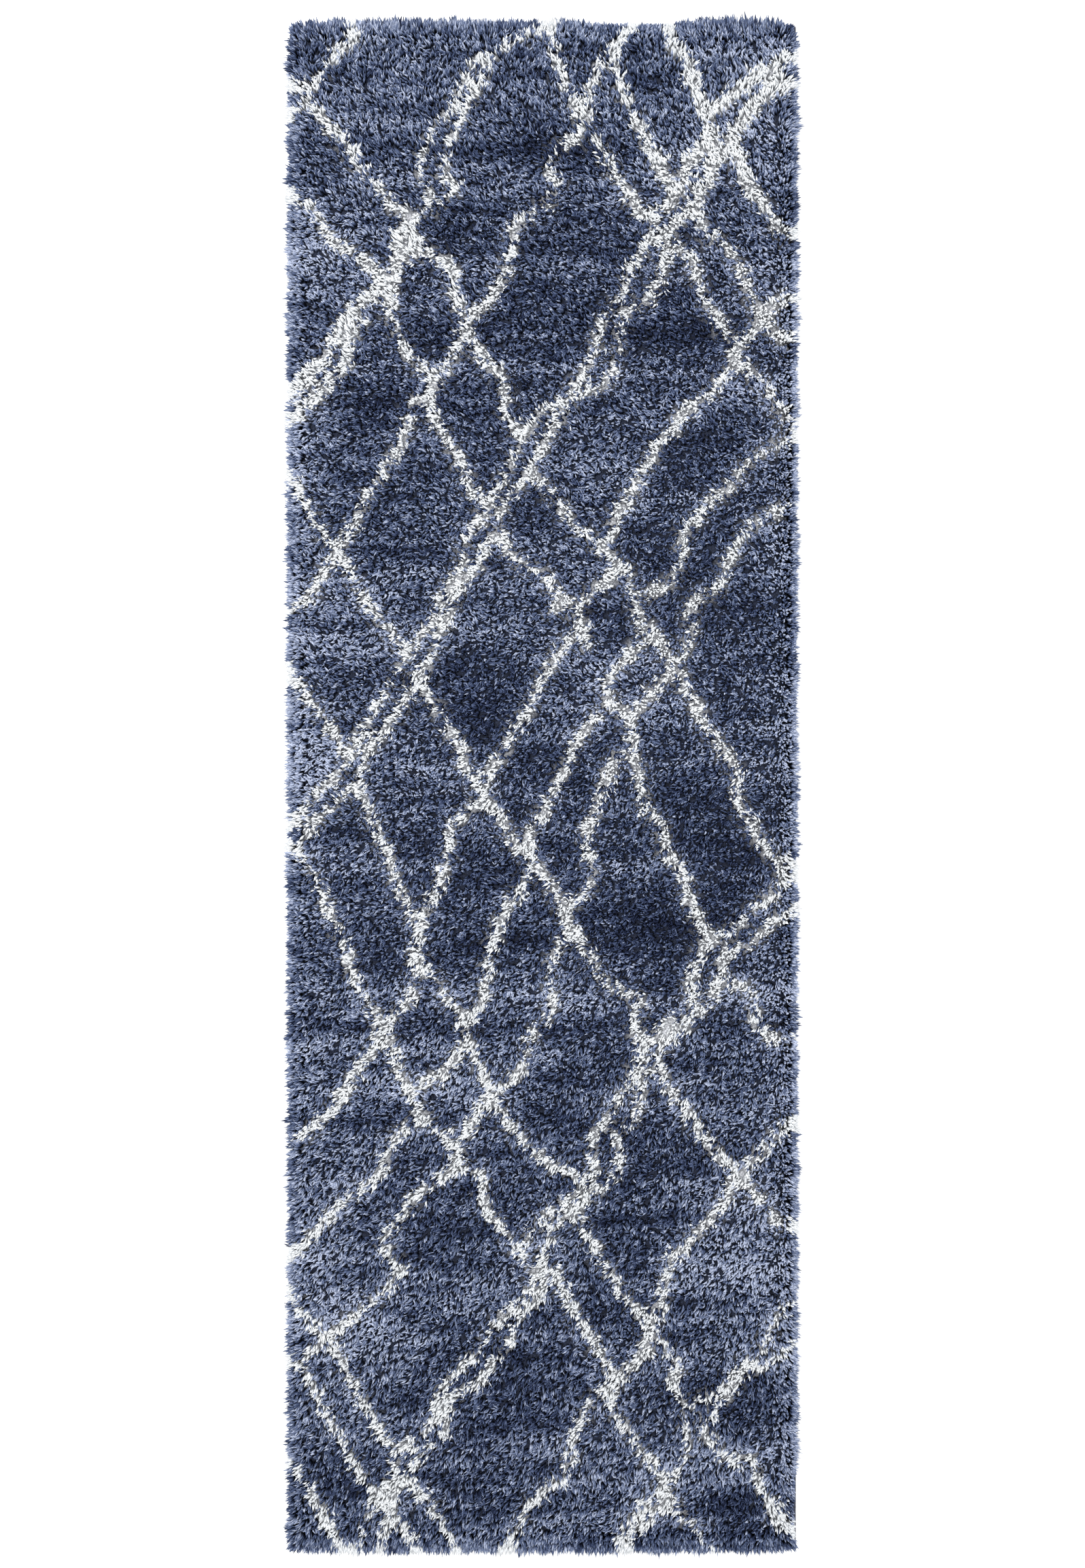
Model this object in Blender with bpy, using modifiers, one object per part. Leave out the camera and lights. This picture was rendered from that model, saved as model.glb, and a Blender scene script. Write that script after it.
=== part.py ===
"""Runner rug: long blue pile with drawn ivory lines on a ground cloth, overlocked along all four edges.

Metres, +Z up. The origin is on the floor under the rug's middle, and the rug runs along Y.
"""

import math

import bmesh
import bpy
from mathutils import Vector

# Overall sizes
LENGTH = 2.000  # over the overlocked ends
WIDTH = 0.666  # over the overlocked sides
HEIGHT = 0.030  # from the floor to the tips of the pile

# Ground cloth and edges
CLOTH_THICKNESS = 0.0024
CORD_DIAMETER = 0.0030  # the cord inside the overlocking
YARN_WALL = 0.0008  # the overlocking yarn, as a wall round the cord
GRIP = 0.0060  # how far the overlocking reaches in over the cloth from the cord's middle
CLEARANCE = 0.0003  # between pieces that touch

# Pile
PILE_OVERHANG = 0.0040  # how far the pile leans out past the overlocking
LEAN_HEIGHT = 0.0160  # where the pile has leaned out all the way
SHOULDER_DROP = 0.0080  # where the outer tips start to round over, below the top
SHOULDER_INSET = 0.0100  # how far in the flat top starts
CORNER_RADIUS = 0.012
CORNER_STEPS = 4
BURIED_YARN = 0.0020  # the blue yarn that runs on under the ivory rows

# Ivory lines
LINE_WIDTH = 0.019  # a line that runs alone
PAIRED_LINE_WIDTH = 0.0165  # each line of a close pair
RUN_OFF = 0.030  # a line that ends at the rug's edge is drawn on past it this far
EDGE_ZONE = 0.006  # a line's end this near the edge belongs to the edge
DRAWING_LENGTH = 2.000  # the sheet that the lines below are drawn on
DRAWING_WIDTH = 0.666
DRAWING_UNIT = 0.01  # its points are in centimetres

# Worked out from the sizes above
BORE_RADIUS = CORD_DIAMETER / 2 + CLEARANCE
ROLL_RADIUS = BORE_RADIUS + YARN_WALL
ROLL_X = WIDTH / 2 - ROLL_RADIUS  # the middle of the side cords
ROLL_Y = LENGTH / 2 - ROLL_RADIUS  # the middle of the end cords
INNER_X = ROLL_X - GRIP - CLEARANCE  # what lies between the side overlocking
INNER_Y = ROLL_Y - GRIP - CLEARANCE
MARGIN_BOTTOM = YARN_WALL + CLEARANCE  # the cloth's margin lies on the overlocking yarn
PILE_BOTTOM = CLOTH_THICKNESS + CLEARANCE
ROLL_TOP = 2 * ROLL_RADIUS + CLEARANCE  # the pile can lean out from here up
OUTER_X = WIDTH / 2 + PILE_OVERHANG
OUTER_Y = LENGTH / 2 + PILE_OVERHANG

FULL_TURN = 2 * math.pi
QUARTER_TURN = FULL_TURN / 4

# The ivory lines, each as (x, y) from one end to the other, from the rug's middle, the far end's first.
SINGLE_LINES = (
    (
        (-25.2, 100.3), (-24.6, 97.8), (-27, 96.3), (-33.2, 88),
    ),
    (
        (12.5, 100.2), (7.4, 94.8), (5.2, 89), (5.6, 86.9),
    ),
    (
        (15.6, 100.2), (17, 97), (18.8, 95.6), (19.7, 91.6), (22.3, 85.2),
    ),
    (
        (0.8, 100.2), (2.8, 91.6), (5.6, 86.6),
    ),
    (
        (33.2, 96.2), (31.5, 95.5), (30, 93.9), (27.5, 93.2), (21.7, 87.9),
    ),
    (
        (9.1, 96), (11, 89.4), (17, 77.5),
    ),
    (
        (33.3, 92.3), (31.5, 92.3), (29.7, 91.2), (27.1, 88.5), (23.3, 83.3), (19.7, 76), (15, 71.3),
    ),
    (
        (5.7, 86.4), (11.4, 76.9), (12.6, 75.3), (14, 74.6),
    ),
    (
        (24.6, 84.8), (26.1, 79.7), (30.6, 73.3), (33.3, 70.5),
    ),
    (
        (-33.3, 93.3), (-31.4, 91.3), (-30.2, 89), (-26.1, 84.5), (-24.3, 81.1), (-19.8, 76),
        (-17.6, 74.2), (-16.7, 72), (-16.9, 70.4), (-12.9, 68.9), (-11.8, 67.3), (-12.1, 65),
        (-10.6, 61.3),
    ),
    (
        (5.5, 86.3), (0.8, 82.7), (0.5, 80.8), (1.9, 78.9), (1.2, 76.9), (-2.9, 74.2), (-4.2, 72.4),
        (-4.7, 68), (-6, 65.7), (-7.3, 63.5), (-10.4, 61),
    ),
    (
        (-33.3, 78.3), (-32.3, 76.9), (-30.5, 75.8), (-27.2, 70.9), (-23.8, 69.3), (-22, 67.5),
    ),
    (
        (-17.5, 73.5), (-19.5, 72), (-19.3, 69.5),
    ),
    (
        (19.9, 75.5), (21.3, 72.4), (24.5, 70.1), (28.7, 61.2), (33.4, 56.2),
    ),
    (
        (15.5, 70.8), (16.3, 70.2), (18.1, 70.4), (19.5, 68.9), (20.8, 64.4), (25.1, 57.4),
    ),
    (
        (-17, 70.4), (-19.2, 68.5), (-20.2, 66), (-20, 61), (-18.9, 58.1), (-14.9, 53.4), (-15, 51.5),
    ),
    (
        (-22, 67.5), (-21.5, 65.3), (-26, 61.2), (-29.4, 55.2), (-33.4, 50.8),
    ),
    (
        (-23.5, 61.5), (-25.4, 58.3), (-25.6, 56.3), (-26.5, 54.3), (-33.3, 47.5),
    ),
    (
        (-10.2, 60.4), (-9.3, 58), (-5.1, 52.5), (-4.9, 48.5), (-3, 45.2),
    ),
    (
        (25, 56), (29.1, 52.1), (32.3, 46.9),
    ),
    (
        (33.3, 65.3), (29.3, 62), (28.2, 60.4), (25, 57.5), (25, 55.9), (23.5, 53.4), (21.9, 51.4),
        (18.1, 48.7), (17, 46.7), (15.4, 45.4), (12.1, 39.1), (9.6, 36), (8, 30.4),
    ),
    (
        (-10.4, 60.4), (-12.7, 54.3), (-15.2, 51.4), (-17.1, 50.3), (-18.9, 44), (-23.2, 37.8),
        (-26.8, 31.3),
    ),
    (
        (-14.9, 51.4), (-14.2, 47.6), (-11.8, 44), (-9.1, 38.2), (-7.8, 36.8),
    ),
    (
        (33.2, 46.5), (26.6, 42.3), (24.4, 39.1), (22.4, 37.8), (19.5, 34.7), (18.1, 32.9),
        (17.9, 28.9), (16.8, 26.8), (13, 24.6),
    ),
    (
        (-33.4, 40.9), (-30.8, 36), (-25.8, 28.9), (-24.1, 25.3), (-18.6, 18),
    ),
    (
        (33.3, 38.3), (31.5, 36.5), (27.1, 34.2), (23.9, 28.9), (23.5, 26.6), (22.1, 25.3), (20, 24.8),
        (19.1, 23), (19.5, 21.3), (18.6, 17.5), (17.2, 15.8),
    ),
    (
        (-26.9, 30.4), (-27.9, 29.6), (-30.3, 25.3), (-33.3, 22.7),
    ),
    (
        (10, 28.6), (4.7, 23.9),
    ),
    (
        (-6.4, 33.6), (-5.3, 32.6), (-4.6, 30.6), (-2.9, 28.9), (-0.8, 28.5), (1.6, 25.4), (3.4, 23.9),
        (5.2, 20.8), (5.5, 17),
    ),
    (
        (0.3, 22.9), (3.4, 23.9),
    ),
    (
        (13.5, 21), (15.6, 19), (16, 17), (17, 15.8),
    ),
    (
        (10.8, 9.4), (12.3, 9.9), (17, 15.6),
    ),
    (
        (-2, 40.6), (-0.6, 40.4), (4.3, 33.8), (11, 28), (13, 20.8), (12.5, 18.5), (8, 13.5),
        (8.8, 11.4), (11.3, 8.1), (11.2, 4.5), (12.4, 2.7), (13.4, -3.3), (15, -4.9), (15.9, -6.7),
        (15.8, -8.5), (18.8, -12), (18.7, -14.3), (21.3, -19.7),
    ),
    (
        (4.6, 20.5), (2, 17.9), (-2.2, 9.8), (-3.8, 8.1), (-5.1, 4.5), (-8.4, 0.3),
    ),
    (
        (-33.3, 14.9), (-25.6, 4.2),
    ),
    (
        (17, 15.6), (18.1, 14.3), (18.6, 12.1), (20.1, 10.3), (20.8, 8.1), (22.6, 6.3), (25, 2.3),
        (25.1, 0), (26.2, -4), (29.9, -8.9), (32.4, -11.3),
    ),
    (
        (8.6, 11.4), (4.3, 5.8), (0.3, -3.1), (-1.5, -4.9), (-2, -7.1), (-1.8, -9.2),
    ),
    (
        (11, 4.8), (9.6, 4.2), (8.8, 2.8), (6.7, -3.6), (5.5, -5.8), (5.4, -8), (6.3, -10.3),
        (6.5, -12.5), (5.2, -14.3), (2.6, -16),
    ),
    (
        (-17.4, 15.2), (-10.7, 4.9), (-10.7, 3.1), (-7.1, -1.8), (-3.8, -7.6), (-0.6, -10.3),
        (6.1, -23), (7.9, -25.3), (9.6, -26.6), (11.9, -27.5), (13, -29.3), (11.9, -30.6), (11.8, -32),
        (13.2, -33.7),
    ),
    (
        (-24.3, 0.2), (-20.5, -8.9), (-19.2, -13.4), (-16.3, -18.9),
    ),
    (
        (-8, -1.2), (-11.4, -4.4), (-12, -6.2), (-12, -8.5), (-16.2, -18.5), (-17, -23), (-16.9, -26.1),
        (-17.5, -28), (-21.1, -31.5),
    ),
    (
        (-1.5, -10.2), (-6, -18.3), (-7.4, -22.6), (-7.8, -24.8), (-7.5, -27), (-8.2, -28.8),
        (-10.6, -31.6),
    ),
    (
        (33.4, -9.8), (29.7, -14.3), (24.8, -18.9), (21.3, -20.3), (19.3, -24.8), (19.2, -26.5),
        (20, -28.3), (18.8, -30), (16.8, -30.8), (13.6, -33.5), (11.2, -38.6), (9.7, -40.2),
        (8.1, -44.4), (5.8, -46.9),
    ),
    (
        (22.9, -24.6), (26.6, -26.6), (27.8, -28), (27.3, -30), (27.6, -31.3), (29.3, -32.7),
        (33.3, -33.8),
    ),
    (
        (-16.7, -22), (-11.3, -29.7), (-10.6, -31.5), (-11.6, -36), (-12.7, -37.3), (-14.5, -38.6),
        (-17.8, -39.6),
    ),
    (
        (3.2, -18.8), (0.7, -23.9), (0.7, -26.1), (1.3, -27.9), (0.6, -29.8), (-2, -33.3),
        (-2.2, -35.5), (-3.3, -37.3), (-7.8, -41.3), (-11.8, -48.5),
    ),
    (
        (-33.4, -7.8), (-32.2, -8.6), (-29.6, -12.5), (-24.5, -25.7), (-19.6, -34.6), (-19.2, -36.9),
        (-16.3, -42.7), (-13.1, -45.8), (-11.4, -49.3), (-7.9, -51.1), (-8.2, -53.4), (-7.3, -55.6),
        (-3, -61.3),
    ),
    (
        (-21.4, -32.4), (-24.7, -38.2), (-27.9, -42.7), (-33.3, -47.6),
    ),
    (
        (-10.4, -32.6), (-9.1, -34.6), (-6.8, -40.7), (-3.3, -46.2), (0.7, -49.4), (6, -52),
    ),
    (
        (15, -36.3), (16.3, -39.6), (19.5, -43.6), (20.6, -45.8), (27.9, -53.4), (30.2, -56.9),
        (33.3, -59.3),
    ),
    (
        (-15.3, -43.7), (-17.6, -44.4), (-19.2, -45.8), (-20.5, -47.6), (-21.6, -51.1), (-25.4, -53.8),
        (-30.5, -58.7), (-33.3, -62.3),
    ),
    (
        (33.4, -41), (31.6, -44.5), (25, -51.5), (23.5, -55.2), (16.8, -61.7), (16.2, -63.2),
        (16.6, -64.8), (15.4, -66.6), (15.3, -68.8), (13.9, -70.3),
    ),
    (
        (-11.4, -50), (-17.4, -54.3), (-20.9, -59.6), (-21.2, -61), (-18.3, -63.2), (-21.6, -67),
        (-27.8, -71.8),
    ),
    (
        (4.2, -55.4), (6.3, -60.3), (11.4, -67.9), (13.2, -69.7), (13.9, -71.5), (15.4, -72.8),
        (17.9, -76.4), (16.6, -77.9), (18.3, -80.9),
    ),
    (
        (0.6, -63.6), (2, -64.4), (4.3, -70.2), (6.1, -71.9), (9.3, -77.4),
    ),
    (
        (-28.3, -72.6), (-31.4, -75.3), (-33.3, -75.8),
    ),
    (
        (-33.3, -66), (-31.9, -68.4), (-27.8, -73), (-22.1, -83.6), (-19.4, -87.6),
    ),
    (
        (-32.6, -75.8), (-31, -77.3), (-25.6, -87.6), (-21.9, -93.6),
    ),
    (
        (13.7, -70.8), (13.2, -74.6), (6.1, -80.9), (3.4, -86.7), (3.7, -88.4), (-1.5, -93.8),
        (-5.2, -99.8),
    ),
    (
        (9, -78.6), (8.9, -80.9), (9.6, -82.7), (16.3, -91.3),
    ),
    (
        (20.2, -82.4), (21.7, -85.8), (23.5, -87.6), (25.3, -88.2), (27.3, -88), (27.6, -90.1),
        (30.4, -96.1), (33.1, -98.3),
    ),
    (
        (29.8, -94.2), (31.5, -94.8),
    ),
    (
        (-18.2, -90.4), (-17.1, -91.2), (-12.3, -97.8), (-11.9, -99.8),
    ),
    (
        (16.4, -93.2), (17.4, -94.9), (20.8, -97.8), (21.8, -99.7),
    ),
    (
        (-20.3, -94.6), (-17, -99.8),
    ),
    (
        (-33.4, -88.6), (-30.1, -92.9), (-26.6, -99.8),
    ),
)

# The lines that run in close pairs, among them the long pair that crosses the whole rug.
PAIRED_LINES = (
    (
        (0.7, 99.3), (-4, 97.8), (-9.6, 94.3), (-12.9, 87.6), (-14.5, 85.8), (-16.3, 82), (-14.7, 76),
        (-16.7, 74.2),
    ),
    (
        (-6.5, 94.8), (-9.1, 91), (-11.3, 85.8), (-12.7, 84), (-13.3, 80.3), (-11.5, 78.5),
        (-12.7, 76.7), (-14.7, 75.4),
    ),
    (
        (22.3, 85.2), (20.6, 83.2), (18.6, 81.8), (18.2, 79), (17.2, 76.9), (14.8, 75.6), (13.2, 70.2),
        (11.4, 68), (10.4, 64.4), (8.8, 63.1), (7.9, 61.3), (7, 59), (6.8, 56.2), (2.4, 50.7),
        (-1.3, 47.8), (-8.2, 35.1), (-10.6, 31.8), (-10.4, 29.8), (-13.8, 23.9), (-14.2, 22.2),
        (-18.9, 15.9), (-20.5, 12.1), (-25.4, 4.8), (-25.8, 3.1), (-33.3, -5.3),
    ),
    (
        (16.3, 70.2), (13.9, 63.9), (11.9, 62.9), (10.5, 61.5), (8.8, 53.2), (4.3, 51), (1.2, 46.9),
        (-1.5, 41.8), (-5.1, 36.7), (-8.7, 28.9), (-11.3, 25.3), (-14.5, 17.5), (-19.4, 8.9),
        (-22.5, 5.8), (-24.5, 0.2), (-31.4, -6.2), (-32.4, -8),
    ),
    (
        (33.2, -14.8), (27.4, -20.6), (23.3, -22.6), (22.3, -28), (16, -33.6), (13.2, -38.7),
        (12.1, -43.1), (11.2, -44.6), (9.7, -45.8), (9.6, -50.2), (8.5, -52), (0.7, -58.3), (-0.3, -62),
    ),
    (
        (5.6, -46.9), (6.6, -49.2), (6.5, -51.3), (5.2, -53.3), (0.7, -55.6), (-1.1, -57.4),
        (-3.1, -61),
    ),
    (
        (33.4, -66.4), (29.7, -70.6), (28.8, -72.8), (25.7, -76.2), (21.7, -80), (18.4, -81.5),
    ),
    (
        (33.3, -71), (30.2, -75.1), (25.3, -77.8), (24.3, -80), (21.2, -83.4), (19.8, -83),
    ),
    (
        (-0.3, -62), (0.6, -63.4), (0.6, -65), (-0.3, -66.6), (-2, -67.9), (-3.3, -69.7), (-4.4, -73.3),
        (-6.4, -74.6), (-7.2, -76.7), (-8.7, -78.2), (-12.2, -80.4), (-13.1, -82.7), (-12.9, -85),
        (-16.7, -88.5), (-19.6, -92.9), (-20.8, -95), (-22, -99.8),
    ),
    (
        (-3.1, -61), (-1.2, -64), (-1.7, -65.7), (-6, -70.2), (-8.2, -74), (-13.1, -78.2), (-15, -83.6),
        (-16.4, -85.3), (-18.4, -86.7), (-19.4, -88.3), (-19.6, -90), (-23.5, -96.3), (-25, -99.8),
    ),
    (
        (18.4, -81.5), (18.9, -88.4), (11, -96.1), (9.2, -99.8),
    ),
    (
        (16.3, -91.3), (16.2, -93.4), (11.2, -98.6), (10.8, -99.8),
    ),
)


HEATHER_BLUE = (0.066, 0.082, 0.130)
IVORY = (0.560, 0.585, 0.630)
NAVY = (0.016, 0.022, 0.048)
UNDYED_JUTE = (0.420, 0.330, 0.220)
CORD_COTTON = (0.520, 0.500, 0.450)


def clear_scene():
    for obj in list(bpy.data.objects):
        bpy.data.objects.remove(obj, do_unlink=True)


def collection(name, helper=False):
    made = bpy.data.collections.new(name)
    bpy.context.scene.collection.children.link(made)
    made.hide_render = helper
    return made


def material(name, colour, roughness):
    made = bpy.data.materials.new(name)
    made.use_nodes = True
    shader = made.node_tree.nodes["Principled BSDF"]
    shader.inputs["Base Color"].default_value = (*colour, 1.0)
    shader.inputs["Roughness"].default_value = roughness
    shader.inputs["Metallic"].default_value = 0.0
    return made


def add_mesh_object(name, bm, home, finish=None):
    """The bmesh as a mesh object in a collection, with its normals facing out."""
    bmesh.ops.recalc_face_normals(bm, faces=bm.faces)
    mesh = bpy.data.meshes.new(name)
    bm.to_mesh(mesh)
    bm.free()
    obj = bpy.data.objects.new(name, mesh)
    home.objects.link(obj)
    if finish:
        mesh.materials.append(finish)
    return obj


def as_helper(obj):
    obj.hide_render = True
    obj.display_type = "WIRE"
    return obj


def rectangle(half_x, half_y):
    return [(half_x, half_y), (-half_x, half_y), (-half_x, -half_y), (half_x, -half_y)]


def rounded_rectangle(half_x, half_y, radius):
    """Outline with a quarter circle at each corner, counter-clockwise from the right side's top."""
    points = []
    for corner, (x, y) in enumerate(rectangle(half_x - radius, half_y - radius)):
        for step in range(CORNER_STEPS + 1):
            angle = QUARTER_TURN * (corner + step / CORNER_STEPS)
            points.append((x + radius * math.cos(angle), y + radius * math.sin(angle)))
    return points


def loft(rings):
    """Closed solid through rings of (outline, height), flat at both ends."""
    bm = bmesh.new()
    loops = [[bm.verts.new((x, y, z)) for x, y in outline] for outline, z in rings]
    for lower, upper in zip(loops, loops[1:]):
        for i, corner in enumerate(lower):
            before = i - 1
            bm.faces.new((lower[before], corner, upper[i], upper[before]))
    bm.faces.new(list(reversed(loops[0])))
    bm.faces.new(loops[-1])
    return bm


def ring(half_x, half_y, z):
    return rounded_rectangle(half_x, half_y, CORNER_RADIUS), z


def lean_rings(inset, lift):
    """The pile's outer side from the roots up to where it has leaned out all the way."""
    return [
        ring(INNER_X - inset, INNER_Y - inset, PILE_BOTTOM + lift),
        ring(INNER_X - inset, INNER_Y - inset, ROLL_TOP + lift),
        ring(OUTER_X, OUTER_Y, LEAN_HEIGHT + lift),
    ]


def shoulder_rings():
    """The pile's outer side above that, rounding over into the flat top."""
    def inset(share):
        return OUTER_X - SHOULDER_INSET * share, OUTER_Y - SHOULDER_INSET * share

    return [
        ring(OUTER_X, OUTER_Y, HEIGHT - SHOULDER_DROP),
        ring(*inset(0.3), HEIGHT - SHOULDER_DROP * 0.3),
        ring(*inset(1.0), HEIGHT),
    ]


def pile_envelope():
    """The whole pile: narrow at the roots, leaning out over the overlocked edges, rounded on top."""
    return loft(lean_rings(0.0, 0.0) + shoulder_rings())


def row_envelope():
    """The part of it where ivory can stand: over a skin of blue yarn, at the roots and under the lean."""
    gap = BURIED_YARN + CLEARANCE
    return loft(lean_rings(gap, gap) + shoulder_rings())


def channel_space():
    """What a channel can cut: all above that skin, open outwards and upwards."""
    rings = lean_rings(BURIED_YARN, BURIED_YARN)
    lean = LEAN_HEIGHT - ROLL_TOP
    reach = OUTER_X - INNER_X + BURIED_YARN
    rings.append(ring(OUTER_X + reach, OUTER_Y + reach, LEAN_HEIGHT + BURIED_YARN + lean))
    rings.append(ring(OUTER_X + reach, OUTER_Y + reach, 2 * HEIGHT))
    return loft(rings)


def make_ground_cloth(home, finish):
    """Flat on the floor, with a thinner margin that the overlocking squeezes."""
    edge_x = ROLL_X - BORE_RADIUS
    edge_y = ROLL_Y - BORE_RADIUS
    bm = loft([
        (rectangle(INNER_X, INNER_Y), 0.0),
        (rectangle(INNER_X, INNER_Y), MARGIN_BOTTOM),
        (rectangle(edge_x, edge_y), MARGIN_BOTTOM),
        (rectangle(edge_x, edge_y), CLOTH_THICKNESS),
    ])
    add_mesh_object("ground_cloth", bm, home, finish)


def to_rug(point):
    """A point of the drawing in the rug's metres."""
    x, y = point
    return Vector((
        x * DRAWING_UNIT * WIDTH / DRAWING_WIDTH,
        y * DRAWING_UNIT * LENGTH / DRAWING_LENGTH,
        0.0,
    ))


def at_edge(point):
    return abs(point.x) > WIDTH / 2 - EDGE_ZONE or abs(point.y) > LENGTH / 2 - EDGE_ZONE


def drawn_on(end, before, spare):
    """The end of a line drawn on by spare, and past the rug's edge where it ends there."""
    ahead = (end - before).normalized()
    past_edge = RUN_OFF if at_edge(end) else 0.0
    return end + ahead * (past_edge + spare)


def line_in_rug(line, spare):
    points = [to_rug(point) for point in line]
    first = drawn_on(points[0], points[1], spare)
    last = drawn_on(points[-1], points[-2], spare)
    return [first, *points[1:-1], last]


def make_bands(name, lines, width, spare, home):
    """Upright bands along the lines, through the pile and out above it, widened all round by spare."""
    bm = bmesh.new()
    for line in lines:
        points = line_in_rug(line, spare)
        verts = [bm.verts.new(point) for point in points]
        edges = [bm.edges.new(pair) for pair in zip(verts, verts[1:])]
        wall = bmesh.ops.extrude_edge_only(bm, edges=edges)["geom"]
        upper = [part for part in wall if isinstance(part, bmesh.types.BMVert)]
        bmesh.ops.translate(bm, verts=upper, vec=(0.0, 0.0, 1.5 * HEIGHT))
    bands = as_helper(add_mesh_object(name, bm, home))
    solidify = bands.modifiers.new("band width", "SOLIDIFY")
    solidify.thickness = width + 2 * spare
    solidify.offset = 0.0
    solidify.use_even_offset = True
    return bands


def boolean(obj, operation, other):
    modifier = obj.modifiers.new(f"{operation.lower()} {other.name}", "BOOLEAN")
    modifier.operation = operation
    modifier.object = other
    modifier.solver = "EXACT"
    modifier.use_self = True


def make_network(name, spare, helpers):
    """The single and the paired lines as one solid."""
    single = make_bands(f"{name}_single", SINGLE_LINES, LINE_WIDTH, spare, helpers)
    paired = make_bands(f"{name}_paired", PAIRED_LINES, PAIRED_LINE_WIDTH, spare, helpers)
    boolean(single, "UNION", paired)
    return single


def make_channels(helpers):
    channels = as_helper(add_mesh_object("channels", channel_space(), helpers))
    boolean(channels, "INTERSECT", make_network("channel", CLEARANCE, helpers))
    return channels


def make_pile(home, helpers, heather, ivory):
    """Blue pile with channels in it, down to its buried yarn, and the ivory rows that stand in them."""
    pile = add_mesh_object("heather_pile", pile_envelope(), home, heather)
    boolean(pile, "DIFFERENCE", make_channels(helpers))
    lines = add_mesh_object("ivory_lines", row_envelope(), home, ivory)
    boolean(lines, "INTERSECT", make_network("row", 0.0, helpers))


def arc(radius, start, end, steps):
    """Points along an arc round the cord's middle, in the edge's own section: outwards, up."""
    points = []
    for step in range(steps + 1):
        angle = start + (end - start) * step / steps
        points.append((radius * math.cos(angle), ROLL_RADIUS + radius * math.sin(angle)))
    return points


def overlock_section():
    """Section of the overlocking: a roll round the cord, and a lip over and under the cloth's margin."""
    slot_top = CLOTH_THICKNESS + CLEARANCE
    slot_angle = math.pi - math.asin((slot_top - ROLL_RADIUS) / BORE_RADIUS)
    outer = arc(ROLL_RADIUS, FULL_TURN / 3, -QUARTER_TURN, 10)
    bore = arc(BORE_RADIUS, -QUARTER_TURN, slot_angle, 10)
    return [
        (-GRIP, slot_top + YARN_WALL),
        *outer,
        (-GRIP, 0.0),
        (-GRIP, YARN_WALL),
        *bore,
        (-GRIP, slot_top),
    ]


def make_edge(side, turn, place, length, home, yarn, cotton):
    """One edge of the rug, its section turned about Z: the overlocking and the cord inside it."""
    curve = bpy.data.curves.new(f"overlock_{side}", "CURVE")
    curve.dimensions = "2D"
    curve.fill_mode = "BOTH"
    curve.extrude = length / 2
    section = overlock_section()
    spline = curve.splines.new("POLY")
    spline.points.add(len(section) - 1)
    for point, (outwards, up) in zip(spline.points, section):
        point.co = (outwards, up, 0.0, 1.0)
    spline.use_cyclic_u = True
    curve.materials.append(yarn)
    overlock = bpy.data.objects.new(f"overlock_{side}", curve)
    overlock.location = place
    overlock.rotation_euler = (QUARTER_TURN, 0.0, turn)
    home.objects.link(overlock)

    bm = bmesh.new()
    radius = CORD_DIAMETER / 2
    bmesh.ops.create_cone(bm, cap_ends=True, segments=12, radius1=radius, radius2=radius, depth=length)
    cord = add_mesh_object(f"edge_cord_{side}", bm, home, cotton)
    cord.location = (place[0], place[1], ROLL_RADIUS)
    cord.rotation_euler = (QUARTER_TURN, 0.0, turn)
    cord.data.shade_smooth()


def make_edges(home, yarn, cotton):
    """The sides run the whole length, and the ends fit between them."""
    end_length = 2 * INNER_X
    edges = (
        ("right", 0.0, (ROLL_X, 0.0, 0.0), LENGTH),
        ("far", QUARTER_TURN, (0.0, ROLL_Y, 0.0), end_length),
        ("left", 2 * QUARTER_TURN, (-ROLL_X, 0.0, 0.0), LENGTH),
        ("near", 3 * QUARTER_TURN, (0.0, -ROLL_Y, 0.0), end_length),
    )
    for side, turn, place, length in edges:
        make_edge(side, turn, place, length, home, yarn, cotton)


def main():
    clear_scene()
    rug = collection("Runner rug")
    helpers = collection("Cutters", helper=True)
    heather = material("heather blue pile", HEATHER_BLUE, 0.8)
    ivory = material("ivory pile", IVORY, 0.8)
    navy = material("navy overlocking yarn", NAVY, 0.75)
    jute = material("undyed jute cloth", UNDYED_JUTE, 0.9)
    cotton = material("cotton edge cord", CORD_COTTON, 0.9)
    make_ground_cloth(rug, jute)
    make_pile(rug, helpers, heather, ivory)
    make_edges(rug, navy, cotton)


main()
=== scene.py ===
"""Runner rug, dressed: a long heathered pile with wandering ivory lines, wrapped edges and a woven ground."""

import logging
import math
from collections.abc import Iterable
from dataclasses import dataclass, field
from enum import Enum

import bpy
import numpy as np
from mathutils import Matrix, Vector
from mathutils.bvhtree import BVHTree


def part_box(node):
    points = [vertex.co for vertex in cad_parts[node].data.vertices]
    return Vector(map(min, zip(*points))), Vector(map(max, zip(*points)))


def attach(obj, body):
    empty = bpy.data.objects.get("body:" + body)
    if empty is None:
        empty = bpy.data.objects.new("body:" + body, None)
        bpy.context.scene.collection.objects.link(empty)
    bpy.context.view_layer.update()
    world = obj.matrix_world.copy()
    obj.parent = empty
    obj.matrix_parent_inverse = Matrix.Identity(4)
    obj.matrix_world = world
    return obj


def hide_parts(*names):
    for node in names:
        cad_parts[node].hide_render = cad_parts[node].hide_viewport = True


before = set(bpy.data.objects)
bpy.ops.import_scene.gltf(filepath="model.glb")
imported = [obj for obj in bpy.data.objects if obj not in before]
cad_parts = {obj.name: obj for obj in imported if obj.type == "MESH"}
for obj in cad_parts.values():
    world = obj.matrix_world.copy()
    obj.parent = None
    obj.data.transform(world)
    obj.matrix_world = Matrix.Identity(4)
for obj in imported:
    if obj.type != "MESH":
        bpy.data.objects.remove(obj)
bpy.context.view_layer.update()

LOG = logging.getLogger("runner_rug")
MM = 0.001
CM = 0.01
BODY = "root"
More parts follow.
